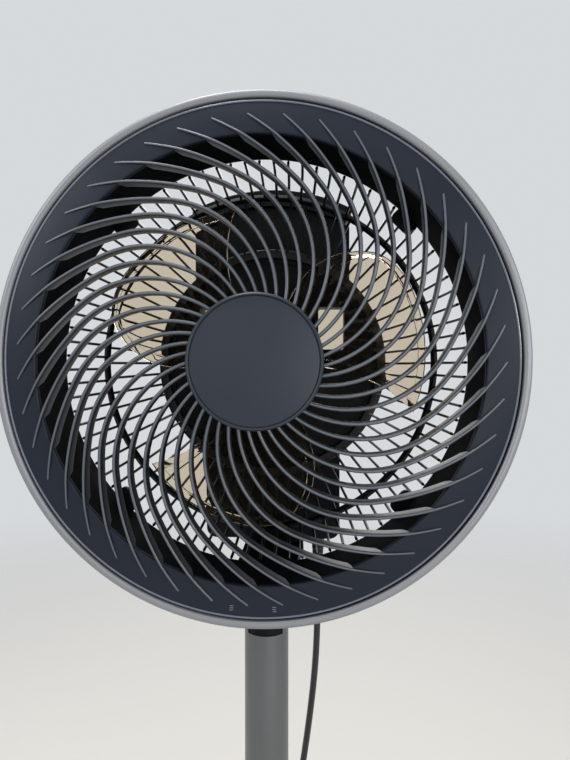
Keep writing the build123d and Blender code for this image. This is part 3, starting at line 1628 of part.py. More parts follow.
# moulded plug beside the coil
plug_back = coil_last + Vector(exit_run, 0, 0)
plug_plane = Plane(origin=plug_back, x_dir=(0, 1, 0), z_dir=(1, 0, 0))
with BuildPart() as plug_body:
    plug_half_height = plug_back.Z
    with BuildSketch(plug_plane):
        Circle(cord_radius + plug_neck_wall)
    plug_size = (plug_width, 2 * plug_half_height)
    waist_size = [size * share for size, share in zip(plug_size, plug_waist)]
    with BuildSketch(plug_plane.offset(plug_length * plug_stations[0])):
        RectangleRounded(*waist_size, plug_rounds[0])
    for station in (plug_stations[1], 1.0):
        with BuildSketch(plug_plane.offset(plug_length * station)):
            RectangleRounded(*plug_size, plug_rounds[1])
    loft(ruled=True)
plug_body.part.label = "plug_body"
export_step(plug_body.part, "parts/plug_body.step")

# the plug's two pins
with BuildPart() as plug_pins:
    pin_at = [(-pin_spacing / 2, 0), (pin_spacing / 2, 0)]
    extrude(disc(plug_plane.offset(plug_length), pin_radius, 0, pin_at), amount=pin_length)
    chamfer(plug_pins.faces().sort_by(Axis.X)[-2:].edges(), chamfer_size)
plug_pins.part.label = "plug_pins"
export_step(plug_pins.part, "parts/plug_pins.step")

# band that ties the coil, on the side away from the pole
with BuildPart() as cord_tie:
    bundle_inner = coil_outer - coil_pitch * coil_turns / 2 - cord_radius
    bundle_width = coil_outer + cord_radius - bundle_inner
    bundle_height = coil_pitch + 2 * cord_radius
    tie_plane = Plane(
        origin=(coil_centre[0], coil_centre[1] + bundle_inner + bundle_width / 2, 0),
        x_dir=(0, 1, 0),
        z_dir=(1, 0, 0),
    )
    tie_inside = (bundle_width + 2 * coil_gap, bundle_height + 2 * seat_gap)
    tie_outside = (tie_inside[0] + 2 * tie_thickness, tie_inside[1] + 2 * tie_thickness)
    with BuildSketch(tie_plane):
        with Locations((0, tie_outside[1] / 2)):
            RectangleRounded(*tie_outside, tie_corner + tie_thickness)
            RectangleRounded(*tie_inside, tie_corner, mode=Mode.SUBTRACT)
    extrude(amount=tie_width / 2, both=True)
cord_tie.part.label = "cord_tie"
export_step(cord_tie.part, "parts/cord_tie.step")

print("whole lead", round(cord_length + coil_length, 1))
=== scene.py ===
import json
import math

import bmesh
import bpy
from mathutils import Matrix, Vector

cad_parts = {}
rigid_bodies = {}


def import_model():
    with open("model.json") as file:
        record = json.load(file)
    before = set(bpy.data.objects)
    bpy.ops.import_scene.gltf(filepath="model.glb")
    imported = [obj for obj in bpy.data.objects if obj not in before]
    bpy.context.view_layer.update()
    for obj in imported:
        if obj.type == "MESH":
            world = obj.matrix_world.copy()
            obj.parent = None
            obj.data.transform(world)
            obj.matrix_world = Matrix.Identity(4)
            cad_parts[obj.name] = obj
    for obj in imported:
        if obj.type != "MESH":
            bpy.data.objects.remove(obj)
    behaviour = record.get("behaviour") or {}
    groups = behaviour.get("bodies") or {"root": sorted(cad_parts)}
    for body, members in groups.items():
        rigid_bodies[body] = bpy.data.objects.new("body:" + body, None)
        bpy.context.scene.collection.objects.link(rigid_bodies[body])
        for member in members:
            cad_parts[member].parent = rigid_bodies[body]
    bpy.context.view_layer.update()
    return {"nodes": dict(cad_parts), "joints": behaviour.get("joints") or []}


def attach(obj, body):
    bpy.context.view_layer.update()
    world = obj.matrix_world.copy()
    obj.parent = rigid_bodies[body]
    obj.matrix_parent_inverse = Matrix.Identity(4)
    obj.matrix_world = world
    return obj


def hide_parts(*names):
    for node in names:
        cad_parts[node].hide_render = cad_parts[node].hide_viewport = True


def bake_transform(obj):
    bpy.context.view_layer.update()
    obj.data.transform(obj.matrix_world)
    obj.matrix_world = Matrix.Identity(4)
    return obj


bl_info = {
    "name": "Air circulator fan",
    "version": (1, 0, 0),
    "blender": (4, 5, 0),
    "location": "View3D > Sidebar > Fan",
    "description": "Dresses a pedestal air circulator fan, piece by piece",
    "category": "Add Mesh",
}

for left_over in list(bpy.data.objects):
    bpy.data.objects.remove(left_over)
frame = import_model()

MM = 0.001
FAN = Vector(next(j["pos_m"] for j in frame["joints"] if j["name"] == "impeller_spin"))  # on the fan's axis
FORWARD = Vector((0, -1, 0))  # the way the fan blows
UP = Vector((0, 0, 1))
ROUND_STEPS = 224  # facets round a large ring
SMOOTH_ANGLE = math.radians(34)
BEVEL_ANGLE = math.radians(20)  # keeps the flats beside a broken edge flat
WELD = 1e-6


# ---- settings
def linear(hex_code):
    """An sRGB hex colour as linear red, green and blue."""
    channels = [int(hex_code[i:i + 2], 16) / 255 for i in (1, 3, 5)]
    return tuple(c / 12.92 if c <= 0.04045 else ((c + 0.055) / 1.055) ** 2.4 for c in channels)


def length(title, words, millimetres):
    """A size that a user can change, given here in millimetres."""
    return bpy.props.FloatProperty(
        name=title, description=words, default=millimetres * MM, unit="LENGTH", precision=5
    )


def tint(title, words, hex_code):
    """A colour that a user can change, given here as sRGB hex."""
    return bpy.props.FloatVectorProperty(
        name=title, description=words, default=linear(hex_code), subtype="COLOR", min=0, max=1
    )


class FanHeadSizes(bpy.types.PropertyGroup):
    """Sizes of the head, measured from the fan's axis and forward of the pole."""

    trim_radius: length("Trim radius", "Outside of the silver ring", 175)
    trim_lip: length("Trim lip", "Inner edge of the silver ring", 169.3)
    trim_wall: length("Trim wall", "Thickness of the silver ring", 2.5)
    trim_front: length("Trim front", "Front face of the silver ring", 73.5)
    trim_back: length("Trim back", "Rear edge of the silver ring", 42)
    face_outer: length("Face outer edge", "Outside of the dark front ring", 168.3)
    face_inner: length("Face inner edge", "Inside of the dark front ring", 145)
    face_edge: length("Face edge depth", "Front ring at its outer edge", 72.3)
    face_crest: length("Face crest depth", "Front ring at its inner edge", 76.5)
    face_skirt: length("Face skirt depth", "Rear edge of the front ring's skirt", 60)
    face_hook: length("Face hook", "Reach of the ring's inner edge behind its wall", 1.1)
    hub_radius: length("Hub radius", "Middle of the front grille", 43)
    hub_back: length("Hub back", "Rear face of the hub", 80)
    hub_front: length("Hub front", "Front face of the hub", 85.6)
    cap_crown: length("Cap crown", "Rise of the hub cap at its middle", 4.2)
    cap_rim: length("Cap rim", "Rise of the hub cap at its edge", 2)
    rib_count: bpy.props.IntProperty(name="Ribs", description="Spiral ribs", default=43, min=3)
    rib_width: length("Rib width", "Thickness of a rib", 2.4)
    rib_tip_width: length("Rib tip width", "Thickness of a rib at its tip", 1.8)
    rib_tip: length("Rib tip", "Radius where a rib ends", 158.5)
    rib_notch: length("Rib notch", "Radius where a rib steps up on the ring", 144)
    rib_hub_depth: length("Rib depth at hub", "Front to back, at the hub", 4.7)
    rib_fin_depth: length("Rib depth at notch", "Front to back, at the notch", 9.2)
    rib_rise: length("Rib rise", "Height above the front ring's crest", 1.7)
    duct_radius: length("Duct radius", "Inside of the air duct", 145.8)
    frame_back: length("Frame back", "Rear face of the head frame", 28)
    frame_lip: length("Frame lip", "Front edge of the frame's outer wall", 66)
    bowl_centre_radius: length("Bowl centre radius", "Centre of the bowl's section", 55)
    bowl_centre_depth: length("Bowl centre depth", "Centre of the bowl's section", 32)
    bowl_radius: length("Bowl radius", "Radius of the bowl's section", 91)
    wire_width: length("Wire width", "A wire of the rear grille, across", 2.2)
    wire_depth: length("Wire depth", "A wire of the rear grille, through", 3)
    blade_tip: length("Blade tip radius", "Reach of the blades", 117)
    blade_web: length("Blade web", "Thickness of a blade's middle", 2.2)
    blade_rim: length("Blade rim", "Thickness of a blade's edge", 3.8)
    blade_band: length("Blade rim width", "Width of a blade's thick edge", 5.5)
    impeller_radius: length("Impeller cup radius", "Outside of the impeller's cup", 30)
    impeller_back: length("Impeller back", "Rear edge of the impeller's cup", 12)
    impeller_front: length("Impeller front", "Front face of the impeller's cup", 46)
    blade_middle: length("Blade middle", "Depth of the blades' middle", 33)
    wall: length("Moulded wall", "Thickness of a moulded shell", 2.5)
    gap: length("Seat gap", "Clearance between neighbouring pieces", 0.3)


class FanStandSizes(bpy.types.PropertyGroup):
    """Sizes of the base and lead."""

    base_radius: length("Base radius", "Outside of the base", 150)
    base_wall: length("Base wall", "Thickness of the base's cover", 3)
    base_bottom: length("Base bottom", "Lower edge of the base's cover", 5)
    base_edge: length("Base edge", "Top of the base's upright edge", 12)
    base_shoulder: length("Base shoulder", "Height of the base's shoulder", 19)
    base_top: length("Base top", "Top of the base's cover", 32)
    socket_radius: length("Socket radius", "Outside of the pole's socket", 21.5)
    cord_radius: length("Lead radius", "Half the mains lead's thickness", 3)
    coil_radius: length("Coil radius", "Middle line of the outermost turn", 42)
    coil_pitch: length("Coil pitch", "Lead plus the gap to the next turn", 6.6)
    coil_turns: bpy.props.IntProperty(name="Coil turns", description="Turns of lead", default=5, min=1)


class FanFinish(bpy.types.PropertyGroup):
    """Colours of the fan's finishes."""

    silver: tint("Silver lacquer", "Trim ring", "#8c8f94")
    charcoal: tint("Charcoal", "Front ring, hub and base", "#1d232e")
    # painted highlight: paler than the charcoal, for the light that the domed cap catches from the front
    cap: tint("Cap", "Cap of the hub", "#2b313b")
    # painted highlight: a pale line on the bead, for the light that the ring's rounded outer edge catches
    bead: tint("Bead", "Thin bead round the front ring", "#6a7180")
    # painted highlight: the pale colour painted on the ribs' rounded fronts and on the fins' flanks near the
    # ring
    crests: tint("Rib crests", "Rubbed fronts of the spiral ribs", "#5c636e")
    ribs: tint("Rib black", "Spiral ribs and rear grille", "#0b0d11")
    black: tint("Black", "Housings and duct", "#05070c")
    smoke: tint("Smoke", "Blades", "#e6d7bf")
    pole: tint("Pole silver", "Pole", "#66686a")
    zinc: tint("Zinc", "Screws and shafts", "#b8b6ae")
    black_zinc: tint("Black zinc", "Screws that show", "#232426")
    core: tint("Core steel", "Motor laminations", "#6b6d6f")
    copper: tint("Copper", "Motor coils", "#c4703f")
    board: tint("Board", "Circuit boards", "#1d4a33")
    nylon: tint("Nylon", "Gears and bushes", "#e6e2d4")
    iron: tint("Cast iron", "Base weight", "#3a3b3d")
    rubber: tint("Rubber", "Feet and strain relief", "#1b1b1d")
    jacket: tint("Lead jacket", "Mains lead", "#151517")
    nickel: tint("Nickel", "Plug pins", "#cbc6ba")
    mark: tint("Touch marks", "Marks on the front ring", "#757b85")
    floor: tint("Floor", "Floor", "#dcdad5")
    backdrop: tint("Backdrop", "Backdrop", "#d6d9dc")


# ---- materials
def feed(owner, node, inputs):
    """Gives a node its inputs. Each is a value, or the output that it is linked to."""
    for socket, value in inputs.items():
        if isinstance(value, bpy.types.NodeSocket):
            owner.node_tree.links.new(value, node.inputs[socket])
        else:
            node.inputs[socket].default_value = value
    return node


def add_node(owner, kind, inputs, **settings):
    """Adds a shader node to a material or world, with its inputs and settings."""
    node = owner.node_tree.nodes.new("ShaderNode" + kind)
    for key, value in settings.items():
        setattr(node, key, value)
    return feed(owner, node, inputs)


def opaque(colour, factor=1.0):
    """A colour, made lighter or darker by a factor, as a shader's red, green, blue and alpha."""
    return (*(min(1.0, c * factor) for c in colour), 1.0)


def new_material(name):
    """A material with the Principled shader that Blender starts it with, and Object coordinates."""
    material = bpy.data.materials.new(name)
    material.use_nodes = True
    place = add_node(material, "TexCoord", {}).outputs["Object"]
    return material, material.node_tree.nodes["Principled BSDF"], place


def surface(name, colour, roughness, grain, height, variation, stretch=(1, 1, 1), **extra):
    """A finish with its grain as bump, and a slow drift of colour and gloss across it.

    grain and height are real sizes in millimetres, and stretch under 1 draws the grain out.
    """
    low, high = 0.3, 0.7  # what a noise mostly keeps between
    material, shader, place = new_material(name)
    drawn = add_node(material, "Mapping", {"Scale": stretch, "Vector": place}).outputs["Vector"]
    grains = {"Scale": 1 / (grain * MM), "Detail": 3.0, "Roughness": 0.55, "Vector": drawn}
    fine = add_node(material, "TexNoise", grains).outputs["Fac"]
    drift = {"Scale": 22.0, "Detail": 2.0, "Vector": place}
    slow = add_node(material, "TexNoise", drift).outputs["Fac"]
    both = add_node(material, "Mix", {"Factor": 0.45, "A": slow, "B": fine})
    ramp = add_node(material, "ValToRGB", {"Fac": both.outputs["Result"]})
    for stop, at, factor in zip(ramp.color_ramp.elements, (low, high), (1 - variation, 1 + variation)):
        stop.position = at
        stop.color = opaque(colour, factor)
    glosses = {"To Min": roughness * 0.88, "To Max": roughness * 1.12, "Value": slow}
    gloss = add_node(material, "MapRange", {"From Min": low, "From Max": high, **glosses})
    bump = add_node(material, "Bump", {"Distance": height * MM, "Height": fine})
    feed(material, shader, {
        "Base Color": ramp.outputs["Color"], "Roughness": gloss.outputs["Result"],
        "Normal": bump.outputs["Normal"], **extra,
    })
    return material


def with_painted_highlight(name, *numbers, **extra):
    """Such a finish, with a pale painted highlight mixed in where the piece's own attribute for it says so.
    """
    material = surface(name, *numbers, **extra)
    shader = material.node_tree.nodes["Principled BSDF"]
    flank = shader.inputs["Base Color"].links[0].from_socket
    crest = add_node(material, "Attribute", {}, attribute_name="crest").outputs["Fac"]
    pale = opaque(bpy.context.scene.fan_finish.crests)
    mix = add_node(material, "MixRGB", {"Fac": crest, "Color1": flank, "Color2": pale})
    feed(material, shader, {"Base Color": mix.outputs["Color"]})
    return material


def banded(name, colour, roughness, pitch, height, **extra):
    """Even fine bands along Y, such as laminations or turns of wire, sized in millimetres."""
    material, shader, place = new_material(name)
    wave = {"Scale": 1 / (pitch * MM * 20), "Distortion": 0.6, "Detail": 1.0, "Vector": place}
    bands = add_node(material, "TexWave", wave, wave_type="BANDS", bands_direction="Y").outputs["Fac"]
    ramp = add_node(material, "ValToRGB", {"Fac": bands})
    ramp.color_ramp.elements[0].color = opaque(colour, 0.55)
    ramp.color_ramp.elements[1].color = opaque(colour)
    bump = add_node(material, "Bump", {"Distance": height * MM, "Height": bands})
    feed(material, shader, {
        "Base Color": ramp.outputs["Color"], "Roughness": roughness,
        "Normal": bump.outputs["Normal"], **extra,
    })
    return material


def clear_plastic(name, colour, index, roughest):
    """A tinted clear plastic, whose gloss drifts a little."""
    material, shader, place = new_material(name)
    flow = add_node(material, "TexNoise", {"Scale": 30.0, "Detail": 1.0, "Vector": place})
    gloss = add_node(material, "MapRange", {"To Max": roughest, "Value": flow.outputs["Fac"]})
    feed(material, shader, {
        "Base Color": opaque(colour), "Transmission Weight": 1.0, "IOR": index,
        "Roughness": gloss.outputs["Result"],
    })
    return material


# Each finish has its material's name, which is the real one's, its colour setting, its maker's
# numbers and what else its shader gets. The comment above it says what it gives the eye.
MAKERS = {"ribs": with_painted_highlight, "smoke": clear_plastic, "core": banded, "copper": banded}  # others: surface
METAL = {"Metallic": 1.0}
SPECULAR = "Specular IOR Level"
FINISHES = {
    # a soft sparkle of flake under a satin top
    "silver": ("silver_lacquer_on_abs", "silver", (0.5, 0.5, 0.005, 0.04), {"Metallic": 0.45}),
    # a fine even spark-eroded grain that spreads highlights into a satin sheen
    "charcoal": ("charcoal_abs", "charcoal", (0.46, 0.55, 0.008, 0.05), {"IOR": 1.53, SPECULAR: 0.18}),
    # the hub's cap: a finer grain than the ring's, and a little paler as a painted highlight for the light
    # that the dome catches from the front
    "cap": ("satin_charcoal_abs", "cap", (0.42, 0.55, 0.005, 0.05), {"IOR": 1.53, SPECULAR: 0.3}),
    # gloss from a polished mould, and a pale painted highlight along the ribs' rounded fronts: each rib is a
    # thin light line
    "ribs": ("polished_black_abs", "ribs", (0.36, 1.5, 0.001, 0.05), {"IOR": 1.53}),
    # a painted highlight: one thin bright line all round the front ring
    "bead": ("rubbed_charcoal_abs", "bead", (0.24, 1.5, 0.001, 0.04), {"IOR": 1.53}),
    # thin clear highlights along each wire
    "wires": ("polished_polypropylene", "ribs", (0.3, 1.2, 0.003, 0.05), {"IOR": 1.49, SPECULAR: 0.3}),
    # a slightly waxy black with a coarser grain than the front
    "black": ("black_polypropylene", "black", (0.5, 0.8, 0.012, 0.1), {"IOR": 1.49, SPECULAR: 0.15}),
    # a coarse mould's skin: the duct's wall stays dark even at a glance along it
    "duct": ("matt_black_polypropylene", "black", (0.8, 1.0, 0.02, 0.1), {"IOR": 1.49, SPECULAR: 0.12}),
    # clear styrene-acrylonitrile, glossy, with a tan cast over white. Its index of refraction is 1.57,
    # and is drawn lower so that the black behind stays black
    "smoke": ("smoke_tinted_san", "smoke", (1.22, 0.02), {}),
    # satin silver, with faint lines along the pole
    "pole": (
        "satin_painted_steel_tube", "pole", (0.42, 0.9, 0.0015, 0.04, (1, 1, 0.015)),
        {"Metallic": 0.75, "Coat Weight": 0.2, "Coat Roughness": 0.3},
    ),
    # hard small highlights, a little mottled
    "zinc": ("zinc_plated_steel", "zinc", (0.28, 1.2, 0.006, 0.12), METAL),
    # passivated black, nearly lost against the plastic round it
    "black_zinc": ("black_zinc_plated_steel", "black_zinc", (0.4, 1.2, 0.006, 0.12), METAL),
    # stacked sheets: the real 0.5 mm laminations are drawn at 1 mm, so that they show
    "core": ("laminated_core_steel", "core", (0.42, 1.0, 0.08), METAL),
    # wire wound close: each turn catches its own highlight
    "copper": ("enamelled_copper", "copper", (0.26, 0.8, 0.12), METAL),
    # a green gloss skin, patchy as over copper tracks
    "board": ("solder_resist_board", "board", (0.24, 2.4, 0.03, 0.35), {"IOR": 1.5, "Coat Weight": 0.4}),
    # off-white and slightly translucent, with a dull gloss
    "nylon": (
        "natural_nylon", "nylon", (0.42, 0.9, 0.01, 0.03),
        {"IOR": 1.53, "Subsurface Weight": 0.12, "Subsurface Scale": 1.5 * MM},
    ),
    # a rough sandy skin that scatters light
    "iron": ("sand_cast_iron", "iron", (0.62, 1.6, 0.15, 0.25), {"Metallic": 0.8}),
    # nearly no gloss, with a dusty bloom
    "rubber": ("moulded_rubber", "rubber", (0.72, 1.0, 0.03, 0.15), {"IOR": 1.52}),
    # a long satin highlight with a faint drag texture
    "jacket": ("extruded_pvc_jacket", "jacket", (0.38, 1.2, 0.015, 0.1), {"IOR": 1.53}),
    # the jacket's black with a finer, glossier skin
    "plug": ("overmoulded_pvc", "jacket", (0.3, 0.7, 0.01, 0.06), {"IOR": 1.53}),
    # a warm mirror-like metal
    "nickel": ("nickel_plated_brass", "nickel", (0.16, 2.0, 0.003, 0.03), METAL),
    # flat, and a little paler than the plastic round it
    "mark": ("pad_printed_ink", "mark", (0.55, 0.3, 0.004, 0.03), {}),
}
RECORD_SLOTS = {
    **dict.fromkeys(("charcoal", "cap", "ribs", "bead", "mark"), "charcoal_plastic"),
    **dict.fromkeys(("wires", "black", "duct"), "black_plastic"),
    "silver": "silver_paint_plastic", "smoke": "smoked_clear_plastic", "pole": "silver_pole",
    "zinc": "zinc_steel", "black_zinc": "zinc_steel", "core": "motor_steel",
    "copper": "copper_wire", "board": "board", "nylon": "white_nylon", "iron": "cast_weight",
    "rubber": "black_rubber", "jacket": "cord_jacket", "plug": "plug_plastic", "nickel": "nickel_pin",
}
made_materials = {}


def finish_named(kind):
    """The material of one finish, made once."""
    if kind not in made_materials:
        name, colour, numbers, extra = FINISHES[kind]
        colour = getattr(bpy.context.scene.fan_finish, colour)
        made_materials[kind] = MAKERS.get(kind, surface)(name, colour, *numbers, **extra)
    return made_materials[kind]


# ---- shaping
def polar(radius, degrees):
    """Across and up, from a radius and an angle seen from the front."""
    angle = math.radians(degrees)
    return radius * math.cos(angle), radius * math.sin(angle)


def fan_point(across, up, depth):
    """A point of the head, by its offset from the fan's axis and its depth forward of the pole."""
    return Vector((FAN.x + across, -depth, FAN.z + up))


def keep(bm, name, body, kind, *replaced, smooth=SMOOTH_ANGLE):
    """Makes a finished piece of a bmesh, on its body, with its finish."""
    bmesh.ops.remove_doubles(bm, verts=bm.verts, dist=WELD)
    bmesh.ops.recalc_face_normals(bm, faces=bm.faces)
    mesh = bpy.data.meshes.new(name)
    bm.to_mesh(mesh)
    bm.free()
    mesh.shade_smooth()
    mesh.set_sharp_from_angle(angle=smooth)
    settle(bpy.data.objects.new(name, mesh), body, kind, *replaced)


def settle(piece, body, kind, *replaced):
    """Puts a new piece in the scene, on its body, with its finish."""
    bpy.context.scene.collection.objects.link(piece)
    piece.data.materials.append(finish_named(kind))
    if body:
        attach(piece, body)
    if replaced:
        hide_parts(*replaced)


def bevel(bm, geom, width, segments, affect="EDGES", clamp=True):
    """Rounds edges, or the corners of an outline."""
    bmesh.ops.bevel(
        bm, geom=geom, offset=width, segments=segments, profile=0.5, affect=affect,
        clamp_overlap=clamp, material=-1,
    )


def lathe(name, profile, rounds, body, kind, *replaced, steps=ROUND_STEPS, upright=False):
    """A piece turned from a closed outline about the fan's axis, or about the pole's if upright.

    The outline gives radii with depths or heights, and rounds each corner's radius in millimetres.
    """
    centre, axis = (Vector(), UP) if upright else (FAN, FORWARD)
    bm = bmesh.new()
    flat = [Vector(point) for point in profile]
    corners = [bm.verts.new((r, 0, h) if upright else fan_point(r, 0, h)) for r, h in profile]
    bm.faces.new(corners)
    for i, (corner, radius) in enumerate(zip(corners, rounds)):
        if radius:
            before = (flat[i - 1] - flat[i]).normalized()
            after = (flat[(i + 1) % len(flat)] - flat[i]).normalized()
            half_angle = before.angle(after) / 2
            bevel(bm, [corner], radius * MM / math.tan(half_angle), 5, "VERTICES")
    bmesh.ops.delete(bm, geom=bm.faces[:], context="FACES_ONLY")
    on_axis = [e for e in bm.edges if all((v.co - centre).cross(axis).length < WELD for v in e.verts)]
    bmesh.ops.delete(bm, geom=on_axis, context="EDGES")
    bmesh.ops.spin(
        bm, geom=bm.verts[:] + bm.edges[:], cent=centre, axis=axis, angle=math.tau, steps=steps,
        use_merge=True,
    )
    keep(bm, name, body, kind, *replaced)


def repeat_round(bm, count):
    """Repeats all that a bmesh holds round the fan's axis."""
    bmesh.ops.spin(
        bm, geom=bm.verts[:] + bm.edges[:] + bm.faces[:], cent=FAN, axis=FORWARD,
        angle=math.tau * (count - 1) / count, steps=count - 1, use_duplicate=True,
    )


def slab(bm, columns, rows):
    """A solid bar of unit size, cut into columns along x and rows along y, with z 0 at its back."""
    bmesh.ops.create_grid(bm, x_segments=columns, y_segments=rows, size=0.5)
    raised = bmesh.ops.extrude_face_region(bm, geom=bm.faces[:], use_keep_orig=True)
    front = [v for v in raised["geom"] if isinstance(v, bmesh.types.BMVert)]
    bmesh.ops.translate(bm, verts=front, vec=UP)


def softened(node, body, kind, width):
    """A CAD piece's own shape, welded, with its hard edges broken."""
    bm = bmesh.new()
    bm.from_mesh(frame["nodes"][node].data)
    bmesh.ops.remove_doubles(bm, verts=bm.verts, dist=0.005 * MM)
    bmesh.ops.dissolve_limit(bm, angle_limit=math.radians(0.6), verts=bm.verts, edges=bm.edges)
    hard = [e for e in bm.edges if len(e.link_faces) == 2 and e.calc_face_angle(0) > SMOOTH_ANGLE]
    bevel(bm, hard, width, 2)
    keep(bm, node + "_dressed", body, kind, node, smooth=BEVEL_ANGLE)


# ---- front of the head
class FanTrimRing(bpy.types.Operator):
    """Makes the silver ring round the front of the head"""

    bl_idname = "fan.trim_ring"
    bl_label = "Trim ring"

    def execute(self, context):
        s = context.scene.fan_head
        inside = s.trim_radius - s.trim_wall
        seat = s.frame_lip + s.gap
        profile = [
            (s.trim_lip, seat), (s.trim_lip, s.trim_front), (s.trim_radius, s.trim_front),
            (s.trim_radius, s.trim_back), (inside, s.trim_back), (inside, seat),
        ]
        rounds = [0, 2.2, 3, 0.6, 0.3, 0]
        lathe("silver_trim_ring", profile, rounds, "head", "silver", "trim_ring", steps=288)
        return {"FINISHED"}


class FanFrontRing(bpy.types.Operator):
    """Makes the dark front ring, its bead with a pale painted highlight, and the marks of its touch keys"""

    bl_idname = "fan.front_ring"
    bl_label = "Front ring"

    bead_radius = 0.75 * MM
    bead_inset = 1.3 * MM  # of its middle, in from the ring's outer edge
    bead_rise = 0.1 * MM  # of its middle, over that edge
    bead_sides = 8
    mark_angles = (264.1, 274.1)
    mark_radii = (159.6 * MM, 161.1 * MM, 162.6 * MM)
    mark_bar = (2.4 * MM, 0.45 * MM, 0.16 * MM)
    mark_rise = 0.03 * MM  # of a bar's middle, over the ring

    def execute(self, context):
        s = context.scene.fan_head
        outer, inner = s.face_outer, s.face_inner
        under = s.face_crest - s.wall - s.face_hook
        profile = [
            (outer, s.face_skirt), (outer, s.face_edge), (inner, s.face_crest), (inner, under),
            (inner + s.wall, under), (outer - s.wall, s.face_edge - s.wall),
            (outer - s.wall, s.face_skirt),
        ]
        rounds = [0.3, 1.2, 1.4, 0.3, 0, 0, 0.3]
        lathe("front_ring", profile, rounds, "head", "charcoal", "front_grille", steps=288)
        # the bead round the outer edge is pale, a painted highlight
        bead = [
            (outer - self.bead_inset + x, s.face_edge + self.bead_rise + y)
            for x, y in (polar(self.bead_radius, 360 / self.bead_sides * i) for i in range(self.bead_sides))
        ]
        lathe("ring_bead", bead, [0] * len(bead), "head", "bead", "front_grille", steps=288)
        self.marks(s)
        return {"FINISHED"}

    def marks(self, s):
        """Two stacks of short printed bars near the bottom, one for each touch key."""
        slope = (s.face_crest - s.face_edge) / (s.face_outer - s.face_inner)
        bar = Matrix.Rotation(math.radians(90), 4, "X") @ Matrix.Diagonal((*self.mark_bar, 1))
        bm = bmesh.new()
        for degrees in self.mark_angles:
            for radius in self.mark_radii:
                across, up = polar(radius, degrees)
                depth = s.face_edge + (s.face_outer - radius) * slope + self.mark_rise
                place = Matrix.Translation(fan_point(across, up, depth))
                bmesh.ops.create_cube(bm, size=1, matrix=place @ bar)
        keep(bm, "touch_marks", "head", "mark")


